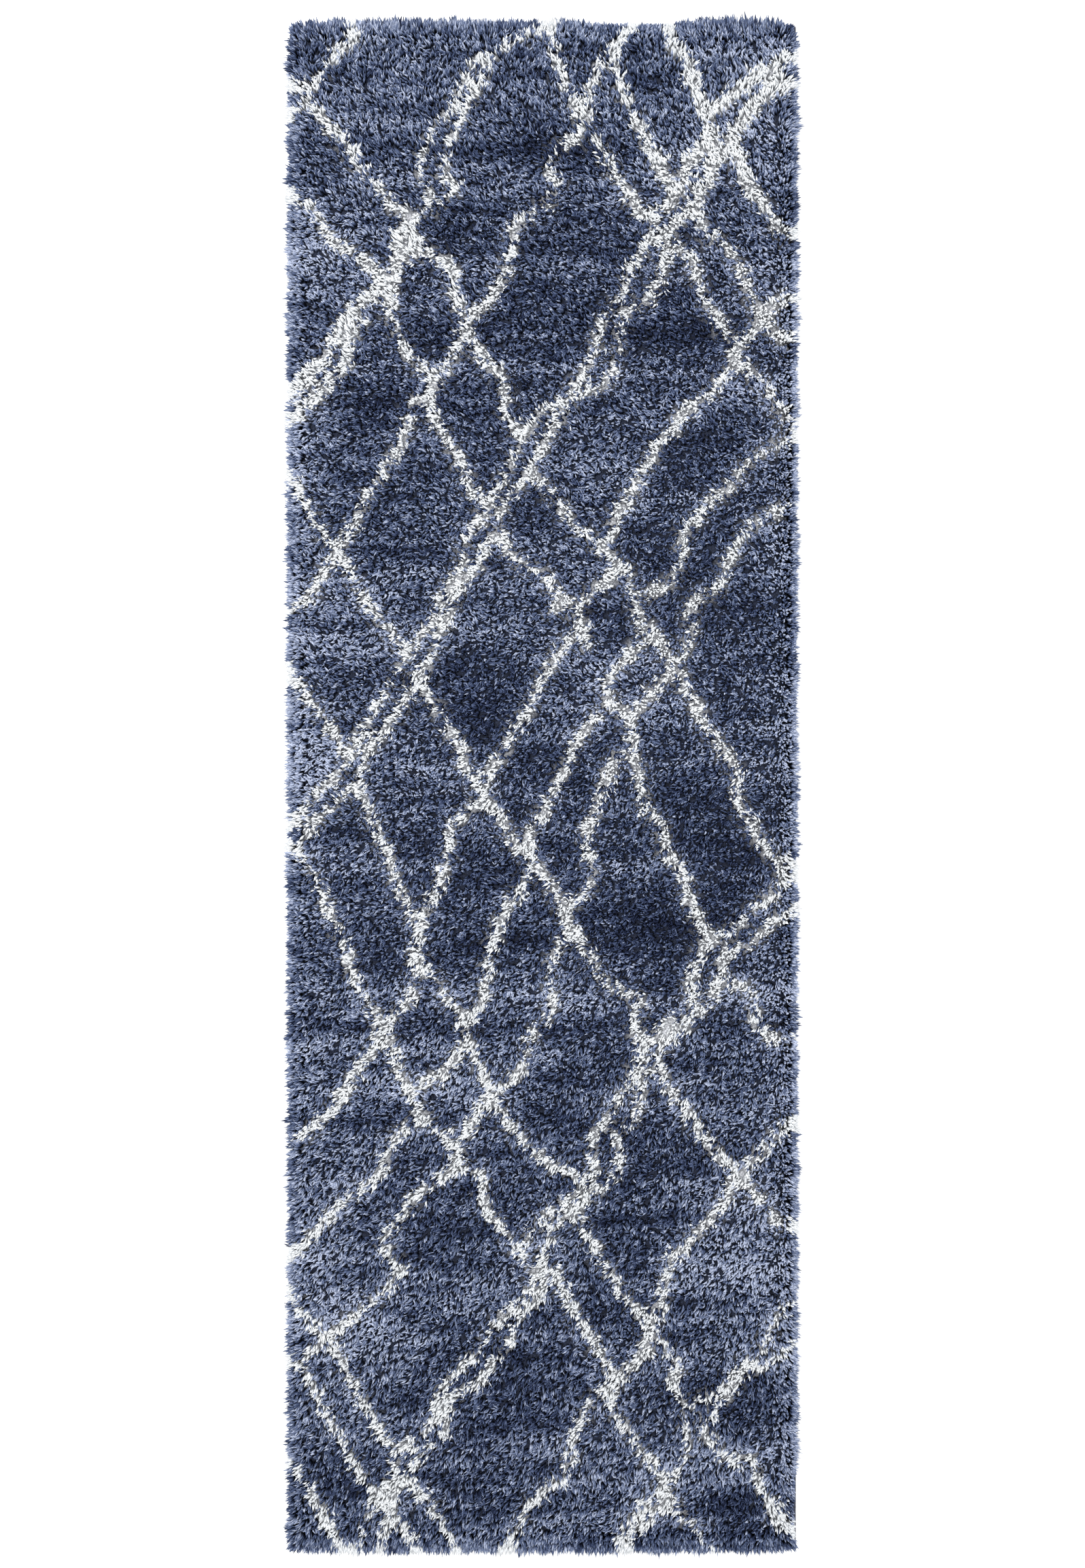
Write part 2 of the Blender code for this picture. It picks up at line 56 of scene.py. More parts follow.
BAKE_MAP = "OFBake"
SIDES = ("left", "right", "near", "far")

# Where a colour mix node keeps its factor, its two colours and its result
MIX_COLOUR_INPUTS = (0, 6, 7)
MIX_COLOUR_OUTPUT = 2

Colour = tuple[float, float, float]
Pair = tuple[float, float]
Fed = bpy.types.Node | bpy.types.NodeSocket | float | str | tuple


# --- Node trees ---------------------------------------------------------------------------------------------


class Graph:
    """Adds and links nodes in one tree, so that a material or a geometry tree reads as a list of steps."""

    def __init__(self, tree: bpy.types.NodeTree) -> None:
        """Takes over a tree and empties it.

        Args:
            tree: the node tree to fill.
        """
        self.tree = tree
        tree.nodes.clear()

    def node(self, kind: str, inputs: dict | None = None, **settings: object) -> bpy.types.Node:
        """Adds a node.

        Args:
            kind: the node's type name.
            inputs: input name or index to a plain value, a node or a socket.
            settings: attributes of the node to set before its inputs are fed.

        Returns:
            The new node.
        """
        made = self.tree.nodes.new(kind)
        for name, value in settings.items():
            setattr(made, name, value)
        for key, value in (inputs or {}).items():
            self.feed(made.inputs[key], value)
        return made

    def feed(self, socket: bpy.types.NodeSocket, value: Fed) -> None:
        """Links a node's first output or a socket into an input, or sets the input to a plain value.

        Args:
            socket: the input.
            value: what goes in.
        """
        if isinstance(value, bpy.types.Node):
            value = value.outputs[0]
        if isinstance(value, bpy.types.NodeSocket):
            self.tree.links.new(value, socket)
        else:
            socket.default_value = value

    def math(self, operation: str, *values: Fed) -> bpy.types.Node:
        """Adds a sum, product or function of one, two or three numbers."""
        return self.node("ShaderNodeMath", dict(enumerate(values)), operation=operation)

    def vector(self, operation: str, *values: Fed) -> bpy.types.Node:
        """Adds a sum, product or function of one or two vectors."""
        return self.node("ShaderNodeVectorMath", dict(enumerate(values)), operation=operation)

    def scaled(self, vector: Fed, factor: Fed) -> bpy.types.Node:
        """Adds a vector times a number."""
        return self.node("ShaderNodeVectorMath", {0: vector, "Scale": factor}, operation="SCALE")

    def joined(self, x: Fed = 0.0, y: Fed = 0.0, z: Fed = 0.0) -> bpy.types.Node:
        """Adds a vector made of three numbers."""
        return self.node("ShaderNodeCombineXYZ", {0: x, 1: y, 2: z})

    def carried(self, name: str, kind: str = "FLOAT") -> bpy.types.NodeSocket:
        """Adds a reading of a value that the geometry carries."""
        return self.node("GeometryNodeInputNamedAttribute", {"Name": name}, data_type=kind).outputs[0]

    def stored(self, geometry: Fed, name: str, value: Fed, kind: str = "FLOAT") -> bpy.types.Node:
        """Adds the storing of a value on every point of the geometry."""
        inputs = {"Geometry": geometry, "Name": name, "Value": value}
        return self.node("GeometryNodeStoreNamedAttribute", inputs, data_type=kind)

    def split(self, vector: Fed) -> tuple[bpy.types.NodeSocket, ...]:
        """Adds the split of a vector into its three numbers."""
        return tuple(self.node("ShaderNodeSeparateXYZ", {0: vector}).outputs)

    def moved(self, geometry: Fed, position: Fed) -> bpy.types.Node:
        """Adds the moving of every point of the geometry to a new position."""
        return self.node("GeometryNodeSetPosition", {"Geometry": geometry, "Position": position})

    def worn(self, name: str) -> bpy.types.NodeSocket:
        """Adds a material's reading of a number that the piece carries."""
        return self.node("ShaderNodeAttribute", attribute_name=name).outputs["Fac"]

    def place(self) -> bpy.types.NodeSocket:
        """Adds a reading of the place on the object."""
        return self.node("ShaderNodeTexCoord").outputs["Object"]

    def noise(self, place: Fed, scale: float, detail: float = 2.0) -> bpy.types.Node:
        """Adds soft chance values over a place."""
        return self.node("ShaderNodeTexNoise", {"Vector": place, "Scale": scale, "Detail": detail})

    def bump(self, height: Fed, strength: float, distance: float) -> bpy.types.Node:
        """Adds a bump, with its distance in metres."""
        return self.node("ShaderNodeBump", {"Height": height, "Strength": strength, "Distance": distance})

    def ramp(self, factor: Fed, stops: Iterable[tuple[float, Colour]]) -> bpy.types.NodeSocket:
        """Adds a colour ramp.

        Args:
            factor: what runs along the ramp.
            stops: (position, colour) pairs from low to high.

        Returns:
            The ramp's colour.
        """
        made = self.node("ShaderNodeValToRGB", {"Fac": factor})
        elements = made.color_ramp.elements
        for index, (position, colour) in enumerate(stops):
            element = elements[index] if index < 2 else elements.new(position)
            element.position = position
            element.color = (*colour, 1.0)
        return made.outputs["Color"]

    def mix(self, factor: Fed, low: Fed, high: Fed) -> bpy.types.NodeSocket:
        """Adds a colour mix.

        Args:
            factor: how much of high, from 0 to 1.
            low: the colour at 0.
            high: the colour at 1.

        Returns:
            The mixed colour.
        """
        made = self.node("ShaderNodeMix", data_type="RGBA")
        sockets = (made.inputs[index] for index in MIX_COLOUR_INPUTS)
        for socket, value in zip(sockets, (factor, low, high)):
            self.feed(socket, (*value, 1.0) if isinstance(value, tuple) else value)
        return made.outputs[MIX_COLOUR_OUTPUT]

    def surface(self, **inputs: Fed) -> None:
        """Ends a material with a Principled shader.

        Args:
            inputs: the shader's inputs, with underscores for the spaces in their names.
        """
        named = {name.replace("_", " "): value for name, value in inputs.items()}
        shader = self.node("ShaderNodeBsdfPrincipled", named)
        self.node("ShaderNodeOutputMaterial", {"Surface": shader})


def new_material(name: str) -> tuple[bpy.types.Material, Graph]:
    """Starts a material.

    Args:
        name: the material's name.

    Returns:
        The material and the graph of its empty tree.
    """
    made = bpy.data.materials.new(name)
    made.use_nodes = True
    return made, Graph(made.node_tree)


def new_growth(name: str, sizes: dict[str, float]) -> tuple[Graph, bpy.types.Node]:
    """Starts a geometry tree with a material input and one named number input for each size.

    Args:
        name: the tree's name.
        sizes: input name to its value.

    Returns:
        The graph and its group input node.
    """
    tree = bpy.data.node_groups.new(name, "GeometryNodeTree")
    tree.interface.new_socket("Geometry", in_out="INPUT", socket_type="NodeSocketGeometry")
    tree.interface.new_socket("Geometry", in_out="OUTPUT", socket_type="NodeSocketGeometry")
    tree.interface.new_socket("Material", in_out="INPUT", socket_type="NodeSocketMaterial")
    for size, value in sizes.items():
        tree.interface.new_socket(size, in_out="INPUT", socket_type="NodeSocketFloat").default_value = value
    graph = Graph(tree)
    return graph, graph.node("NodeGroupInput")


def end_growth(graph: Graph, geometry: Fed, given: bpy.types.Node) -> bpy.types.NodeTree:
    """Ends a geometry tree: smooth shading, the material, the output.

    Args:
        graph: the graph to end.
        geometry: what the tree has made, with its instances realised.
        given: the group input node, which holds the material.

    Returns:
        The finished tree.
    """
    smooth = graph.node("GeometryNodeSetShadeSmooth", {0: geometry})
    material = given.outputs["Material"]
    dressed = graph.node("GeometryNodeSetMaterial", {"Geometry": smooth, "Material": material})
    graph.node("NodeGroupOutput", {0: dressed})
    return graph.tree


def grown(name: str, seed: bpy.types.Mesh, tree: bpy.types.NodeTree, inputs: dict) -> bpy.types.Object:
    """Runs a geometry tree on a mesh and keeps the result as a plain mesh object at the origin.

    Args:
        name: the new object's name.
        seed: the points or edges that the tree starts from.
        tree: the geometry tree.
        inputs: input name to its value.

    Returns:
        The plain object, with no modifier.
    """
    holder = bpy.data.objects.new(f"{name}_seed", seed)
    bpy.context.scene.collection.objects.link(holder)
    modifier = holder.modifiers.new("growth", "NODES")
    modifier.node_group = tree
    for item in tree.interface.items_tree:
        if item.in_out == "INPUT" and item.name in inputs:
            modifier[item.identifier] = inputs[item.name]
    evaluated = holder.evaluated_get(bpy.context.evaluated_depsgraph_get())
    mesh = bpy.data.meshes.new_from_object(evaluated)
    mesh.name = name
    bpy.data.objects.remove(holder, do_unlink=True)
    return placed(name, mesh)


def placed(name: str, mesh: bpy.types.Mesh) -> bpy.types.Object:
    """Puts a mesh into the scene as an object at the origin.

    Args:
        name: the object's name.
        mesh: its mesh.

    Returns:
        The object.
    """
    made = bpy.data.objects.new(name, mesh)
    bpy.context.scene.collection.objects.link(made)
    return made


def points_mesh(name: str, places: np.ndarray, values: dict[str, np.ndarray]) -> bpy.types.Mesh:
    """Makes a mesh of loose points that carry named values.

    Args:
        name: the mesh's name.
        places: the points, one row each.
        values: name to one number, or one vector, for each point.

    Returns:
        The mesh.
    """
    mesh = bpy.data.meshes.new(name)
    mesh.vertices.add(len(places))
    mesh.vertices.foreach_set("co", places.astype(np.float32).ravel())
    for key, rows in values.items():
        is_vector = rows.ndim == 2
        layer = mesh.attributes.new(key, "FLOAT_VECTOR" if is_vector else "FLOAT", "POINT")
        layer.data.foreach_set("vector" if is_vector else "value", rows.astype(np.float32).ravel())
    return mesh


def grid_slab(name: str, x: np.ndarray, y: np.ndarray, top: np.ndarray, bottom: np.ndarray) -> bpy.types.Mesh:
    """Makes a closed slab from two height fields over one grid.

    Args:
        name: the mesh's name.
        x: the grid's places across.
        y: the grid's places along.
        top: the upper heights, one row for each y.
        bottom: the lower heights, one row for each y.

    Returns:
        The mesh, closed, with its faces outwards.
    """
    columns, rows = len(x), len(y)
    across, along = np.meshgrid(x, y)
    layers = [np.stack([across, along, heights], axis=-1).reshape(-1, 3) for heights in (top, bottom)]
    index = np.arange(columns * rows).reshape(rows, columns)
    a, b, c, d = index[:-1, :-1], index[:-1, 1:], index[1:, 1:], index[1:, :-1]
    upper = np.stack([a, b, c, d], axis=-1).reshape(-1, 4)
    lower = np.stack([d, c, b, a], axis=-1).reshape(-1, 4) + columns * rows
    rim = np.concatenate([index[0, :-1], index[:-1, -1], index[-1, :0:-1], index[:0:-1, 0]])
    after = np.roll(rim, -1)
    wall = np.stack([after, rim, rim + columns * rows, after + columns * rows], axis=-1)
    mesh = bpy.data.meshes.new(name)
    mesh.from_pydata(np.concatenate(layers).tolist(), [], np.concatenate([upper, lower, wall]).tolist())
    mesh.shade_smooth()
    return mesh


# --- Chance -------------------------------------------------------------------------------------------------


def eased(value: np.ndarray) -> np.ndarray:
    """Eases 0 to 1 at both ends, and holds what lies outside."""
    held = np.clip(value, 0.0, 1.0)
    return held * held * (3.0 - 2.0 * held)


def blotches(places: np.ndarray, grain: Pair, seed: int) -> np.ndarray:
    """Makes smooth chance values from -1 to 1 over the rug.

    Args:
        places: points, of which x and y are used.
        grain: the size of a blotch along x and y, in metres.
        seed: which set of values.

    Returns:
        One value for each point.
    """
    size = 256
    table = np.random.default_rng(seed).uniform(-1.0, 1.0, (size, size))
    grid = places[:, :2] / np.array(grain)
    low = np.floor(grid).astype(int)
    share = eased(grid - low)
    x0, y0 = low[:, 0] % size, low[:, 1] % size
    x1, y1 = (x0 + 1) % size, (y0 + 1) % size
    near = table[x0, y0] * (1 - share[:, 0]) + table[x1, y0] * share[:, 0]
    far = table[x0, y1] * (1 - share[:, 0]) + table[x1, y1] * share[:, 0]
    return near * (1 - share[:, 1]) + far * share[:, 1]


@dataclass(frozen=True)
class Blotch:
    """A layer of smooth chance: its strength, how far a blotch reaches across and along in mm, its number."""

    strength: float
    across: float
    along: float
    number: int = 0

    def at(self, places: np.ndarray, seed: int) -> np.ndarray:
        """Works out the layer's value at each point."""
        return self.strength * blotches(places, (self.across * MM, self.along * MM), seed + self.number)


def directions(angles: np.ndarray) -> np.ndarray:
    """Unit vectors in the plane at these angles from +X."""
    return np.stack([np.cos(angles), np.sin(angles)], axis=1)


# --- Finishes -----------------------------------------------------------------------------------------------


@dataclass(frozen=True)
class YarnFinish:
    """A face yarn: its range of tones, how its fibres take the light, and its painted light and shade:
    lighter towards the tip, darker towards the root.
    """

    name: str
    tones: tuple[tuple[float, Colour], ...]
    # How much the tone is raised towards the tip as painted light, and how much colour is kept at the root
    # under painted shade.
    painted_tip_light: float = 0.9
    painted_root_shade: float = 0.20
    fibre_contrast: float = 0.68
    roughness: float = 0.85

    def material(self) -> bpy.types.Material:
        """Builds the yarn from the tone, rise and fibre values that every strand carries, with painted light
        towards the tips and painted shade towards the roots.

        Returns:
            The material.
        """
        made, graph = new_material(self.name)
        tone, rise = graph.worn("tone"), graph.worn("rise")
        along = graph.node("ShaderNodeAttribute", attribute_name="fibre").outputs["Vector"]
        fibres = graph.noise(along, 1.6)
        streak = graph.math("MULTIPLY_ADD", fibres, 2 * self.fibre_contrast, -self.fibre_contrast)
        # Painted light and shade: the tone is raised near the tip and lowered further down, by how high the
        # point rises.
        painted_rise_light = graph.math("MULTIPLY_ADD", rise, self.painted_tip_light, -0.8 * self.painted_tip_light)
        colour = graph.ramp(graph.math("ADD", graph.math("ADD", tone, streak), painted_rise_light), self.tones)
        # Painted shade: the colour is darkened towards the root, down to a share of itself at the foot.
        painted_foot_darkening = graph.node("ShaderNodeMapRange", {
            "Value": rise, "From Min": 0.3, "From Max": 0.9, "To Min": self.painted_root_shade, "To Max": 1.0,
        })
        painted_shade_colour = graph.vector("MULTIPLY", colour, graph.joined(painted_foot_darkening, painted_foot_darkening, painted_foot_darkening))
        graph.surface(Base_Color=painted_shade_colour, Roughness=self.roughness, Normal=graph.bump(fibres, 0.35, 0.4 * MM),
                      Specular_IOR_Level=0.12)
        return made


@dataclass(frozen=True)
class RootsFinish:
    """The crowded feet of the yarn, deep in the pile, coloured darker than the face yarn as painted shade."""

    name: str = "pile_roots"
    # Painted shade: these colours are darker than the face yarn's, for the depth of the pile.
    heather: Colour = (0.020, 0.027, 0.054)
    ivory: Colour = (0.50, 0.51, 0.54)
    tuft_size: float = 3.2 * MM

    def material(self) -> bpy.types.Material:
        """Builds the roots' material from the ivory share that the bed carries.

        Returns:
            The material.
        """
        made, graph = new_material(self.name)
        share = graph.worn("ivory_share")
        place = graph.place()
        flat = graph.vector("MULTIPLY", place, (1.0, 1.0, 0.3))
        tufts = graph.node("ShaderNodeTexVoronoi", {"Vector": flat, "Scale": 1 / self.tuft_size})
        fibres = graph.noise(place, 900.0)
        # Painted light and shade: each tuft's crown is lit and the gaps between tufts are shaded, by mixing a
        # tenth of the colour with 2.4 times it.
        painted_tuft_light = graph.math("SUBTRACT", 1.0, tufts.outputs["Distance"])
        feet = graph.math("MULTIPLY", painted_tuft_light, graph.math("ADD", fibres, 0.35))
        colour = graph.mix(share, self.heather, self.ivory)
        lit = graph.mix(feet, graph.scaled(colour, 0.1), graph.scaled(colour, 2.4))
        graph.surface(Base_Color=lit, Roughness=0.9, Normal=graph.bump(feet, 1.0, 3.0 * MM))
        return made


@dataclass(frozen=True)
class WrapFinish:
    """The navy yarn that wraps the edges."""

    name: str = "navy_overlock_yarn"
    deep: Colour = (0.008, 0.012, 0.030)
    lit: Colour = (0.040, 0.052, 0.095)
    roughness: float = 0.7

    def material(self) -> bpy.types.Material:
        """Builds a soft yarn of fine fibres along each wrap.

        Returns:
            The material.
        """
        made, graph = new_material(self.name)
        place = graph.place()
        fine = graph.noise(place, 1500.0)
        both = graph.math("MULTIPLY", fine, graph.noise(place, 160.0, 1.0))
        colour = graph.ramp(both, ((0.12, self.deep), (0.42, self.lit)))
        graph.surface(Base_Color=colour, Roughness=self.roughness, Normal=graph.bump(fine, 0.5, 0.25 * MM),
                      Sheen_Weight=0.2)
        return made


@dataclass(frozen=True)
class ClothFinish:
    """The woven ground from below: jute wefts, and between them the backs of the tufts."""

    name: str = "woven_ground"
    jute: Colour = (0.30, 0.22, 0.14)
    pale_jute: Colour = (0.50, 0.40, 0.28)
    heather_back: Colour = (0.050, 0.064, 0.105)
    ivory_back: Colour = (0.58, 0.59, 0.61)
    weft_pitch: float = 3.6 * MM
    warp_pitch: float = 6.4 * MM

    def material(self) -> bpy.types.Material:
        """Builds the weave on object coordinates.

        Returns:
            The material.
        """
        made, graph = new_material(self.name)
        place = graph.place()
        waver = graph.noise(place, 60.0)
        x, y, _ = graph.split(place)
        turn_y = graph.math("MULTIPLY_ADD", y, math.tau / self.weft_pitch, waver)
        turn_x = graph.math("MULTIPLY_ADD", x, math.tau / self.warp_pitch, waver)
        weave = graph.math("MULTIPLY", graph.math("SINE", turn_x), graph.math("SINE", turn_y))
        fibre = graph.noise(graph.vector("MULTIPLY", place, (250.0, 1600.0, 600.0)), 1.0, 3.0)
        jute = graph.mix(fibre, self.jute, self.pale_jute)
        share = graph.worn("ivory_share")
        backs = graph.mix(share, self.heather_back, self.ivory_back)
        shown = graph.node("ShaderNodeMapRange", {"Value": weave, "From Min": 0.1, "From Max": 0.5})
        colour = graph.mix(shown, jute, backs)
        height = graph.math("MULTIPLY_ADD", fibre, 0.6, graph.math("ABSOLUTE", weave))
        graph.surface(Base_Color=colour, Roughness=0.9, Normal=graph.bump(height, 0.7, 0.6 * MM))
        return made


@dataclass(frozen=True)
class CordFinish:
    """The cotton cord inside the overlocking."""

    name: str = "cotton_edge_cord"
    cotton: Colour = (0.50, 0.48, 0.43)
    painted_groove_shade: Colour = (0.24, 0.22, 0.19)

    def material(self) -> bpy.types.Material:
        """Builds a twisted cord of slanting plies, with painted shade in the grooves between them.

        Returns:
            The material.
        """
        made, graph = new_material(self.name)
        plies = graph.node("ShaderNodeTexWave", {
            "Vector": graph.place(), "Scale": 220.0, "Distortion": 1.5,
        }, bands_direction="DIAGONAL").outputs["Fac"]
        # Painted shade: the grooves between the plies are darker than the cotton.
        colour = graph.ramp(plies, ((0.1, self.painted_groove_shade), (0.6, self.cotton)))
        graph.surface(Base_Color=colour, Roughness=0.85, Normal=graph.bump(plies, 0.5, 0.3 * MM))
        return made


@dataclass(frozen=True)
class FloorFinish:
    """The plain pale floor."""

    name: str = "pale_floor"
    colour: Colour = (0.93, 0.93, 0.93)

    def material(self) -> bpy.types.Material:
        """Builds the floor's matt paint.

        Returns:
            The material.
        """
        made, graph = new_material(self.name)
        graph.surface(Base_Color=(*self.colour, 1.0), Roughness=0.9, Specular_IOR_Level=0.1)
        return made


class Yarn(Enum):
    """The two face yarns, each with its finish."""

    HEATHER = YarnFinish("heather_yarn", (
        (0.00, (0.008, 0.012, 0.032)),
        (0.30, (0.030, 0.044, 0.095)),
        (0.60, (0.102, 0.134, 0.230)),
        (1.00, (0.400, 0.445, 0.570)),
    ))
    IVORY = YarnFinish("ivory_yarn", (
        (0.00, (0.52, 0.54, 0.57)),
        (0.50, (0.61, 0.63, 0.65)),
        (1.00, (0.66, 0.67, 0.68)),
    ), painted_tip_light=0.1, painted_root_shade=1.0, fibre_contrast=0.18)


# --- Where the pile is dark, and which way it lies ----------------------------------------------------------


@dataclass(frozen=True)
class Patch:
    """A broad patch where the pile differs: its middle and radii in cm, and how much it differs."""

    x: float
    y: float
    across: float
    along: float
    shade: float


# The patches make the pile's tone darker or lighter: partly the yarn's own uneven colour, partly painted
# shade and light where the pile lies differently to the lamp, as along the edges.
DARKEST = -1.0
DARK = -0.62
DUSKY = -0.38
LIGHT = 0.55
LIGHTEST = 0.85

SHADE_PATCHES = (
    Patch(-2, 60.5, 10, 5, DARKEST), Patch(16.4, 60.5, 7, 5, DARKEST), Patch(20, 44, 6, 4, DARKEST),
    Patch(8.3, 22.7, 4, 3, DARKEST), Patch(23, 22.7, 7, 4, DARKEST), Patch(-8, 13.8, 9, 4, DARKEST),
    Patch(20, -2.5, 6, 5, DARKEST), Patch(24.6, -8.4, 5, 4, DARKEST), Patch(15.7, -18.8, 9, 6, DARKEST),
    Patch(-12.5, -57.3, 8, 3.5, DARKEST), Patch(9, -58.8, 5, 4, DARKEST), Patch(-6.5, -78, 8, 4.5, DARKEST),
    Patch(-26.5, -91.4, 4, 3, DARKEST), Patch(24.6, -94.4, 5, 3, DARKEST),
    Patch(12.7, 94.5, 4, 3, DARK), Patch(-5, 85, 10, 3, DARK), Patch(6.8, 83.4, 5, 3, DARK),
    Patch(4.6, 73, 12, 4, DARK), Patch(-23, 49.4, 5, 5, DARK), Patch(-6.5, 46.4, 8, 5, DARK),
    Patch(-20, 36, 8, 6, DARK), Patch(-21.4, 31.6, 6, 4, DARK), Patch(12.7, 31.6, 5, 4, DARK),
    Patch(21, 31, 5, 4, DARK), Patch(-8, 8.6, 5, 3, DARK), Patch(23, 13.8, 9, 5, DARK),
    Patch(-27, -4, 5, 3, DARK), Patch(3.8, -2.5, 5, 5, DARK), Patch(-9.5, -13, 7, 8, DARK),
    Patch(-9.5, -21.8, 8, 3, DARK), Patch(-23, -22.5, 8, 2, DARK), Patch(0, -32, 33, 1.2, DARK),
    Patch(9.7, -69, 5, 3, DARK), Patch(24.6, -81, 7, 4, DARK), Patch(-9.5, -91.4, 8, 3.5, DARK),
    Patch(-31, 94.5, 4, 4, DUSKY), Patch(-30, 82, 4, 4, DUSKY), Patch(15.7, 85, 4, 4, DUSKY),
    Patch(-11, 71.6, 5, 4, DUSKY), Patch(23, 73, 6, 5, DUSKY), Patch(-17, 60.5, 4, 4, DUSKY),
    Patch(-30, 59, 4, 4, DUSKY), Patch(9.7, 50.8, 5, 4, DUSKY), Patch(-2, 34.5, 5, 4, DUSKY),
    Patch(-30, 13.8, 4, 4, DUSKY), Patch(-29, -13, 4, 4, DUSKY), Patch(-26, -42.5, 5, 4, DUSKY),
    Patch(1, -42.5, 5, 4, DUSKY), Patch(4, -47, 5, 3, DUSKY),
    Patch(27.5, 89, 5, 5, LIGHT), Patch(-30, 69, 4, 4, LIGHT), Patch(32.7, 52, 3, 6, LIGHT),
    Patch(-32.5, 21, 3, 5, LIGHT), Patch(-31.7, 3.4, 3, 4, LIGHTEST), Patch(0, -27.7, 33, 1.5, LIGHT),
    Patch(-18, -38.2, 14, 2, LIGHT), Patch(26, -24.7, 4, 3, LIGHT), Patch(27.5, -53, 5, 4, LIGHT),
    Patch(24.6, -63, 6, 4, LIGHT), Patch(-30, -63, 4, 4, LIGHTEST), Patch(-24, -70.6, 5, 4, LIGHT),
    Patch(34, 5, 5, 40, 0.45), Patch(34, -50, 5, 22, 0.35), Patch(34, -80, 5, 7, 0.60),
    Patch(-33, 45, 4, 40, 0.25), Patch(-33, -20, 5, 25, 0.20), Patch(-28, 80, 8, 5, 0.25),
    Patch(-6, 92.5, 22, 2.5, -0.40), Patch(0, 17, 22, 3, 0.45), Patch(-8, -19.5, 14, 5, -0.35),
    Patch(6, -38, 10, 5, -0.55), Patch(8, -47, 18, 4, -0.45), Patch(20, 67, 12, 4, 0.45),
    Patch(-21, 27, 6, 3, 0.45), Patch(8, 27, 8, 3, 0.30),
)

# Sideways streaks in the blue.
STREAKS = (Blotch(0.45, 85, 10, 5), Blotch(0.30, 160, 26, 6), Blotch(0.22, 30, 22, 7))

# Where the pile stands back from the edge and shows the overlocking, or hangs out further over it.
OVERHANGS = (
    Patch(12.2, 99, 7.2, 5, -0.52),
    Patch(25, 99, 6, 5, 0.34),
    Patch(33.6, 100.4, 2.8, 2.8, -0.60),
    Patch(32.5, -93.8, 5, 4.6, -0.52),
    Patch(-16, 99, 9, 5, 0.08),
)

# Where the ivory rows are fuller than elsewhere.
FULL_ROWS = (
    Patch(24, 86, 11, 11, 0.36),
    Patch(-21, 66, 8, 7, 0.16),
    Patch(-28, 54, 5, 5, 0.14),
)

# Which way the tips lie, in degrees from +X: to the left over most of the rug, turning down towards the near
# end and up over the far one. The places are y in cm.
LIE_PLACES = (-100.0, 0.0, 75.0, 95.0)
LIE_ANGLES = (230.0, 200.0, 180.0, 100.0)


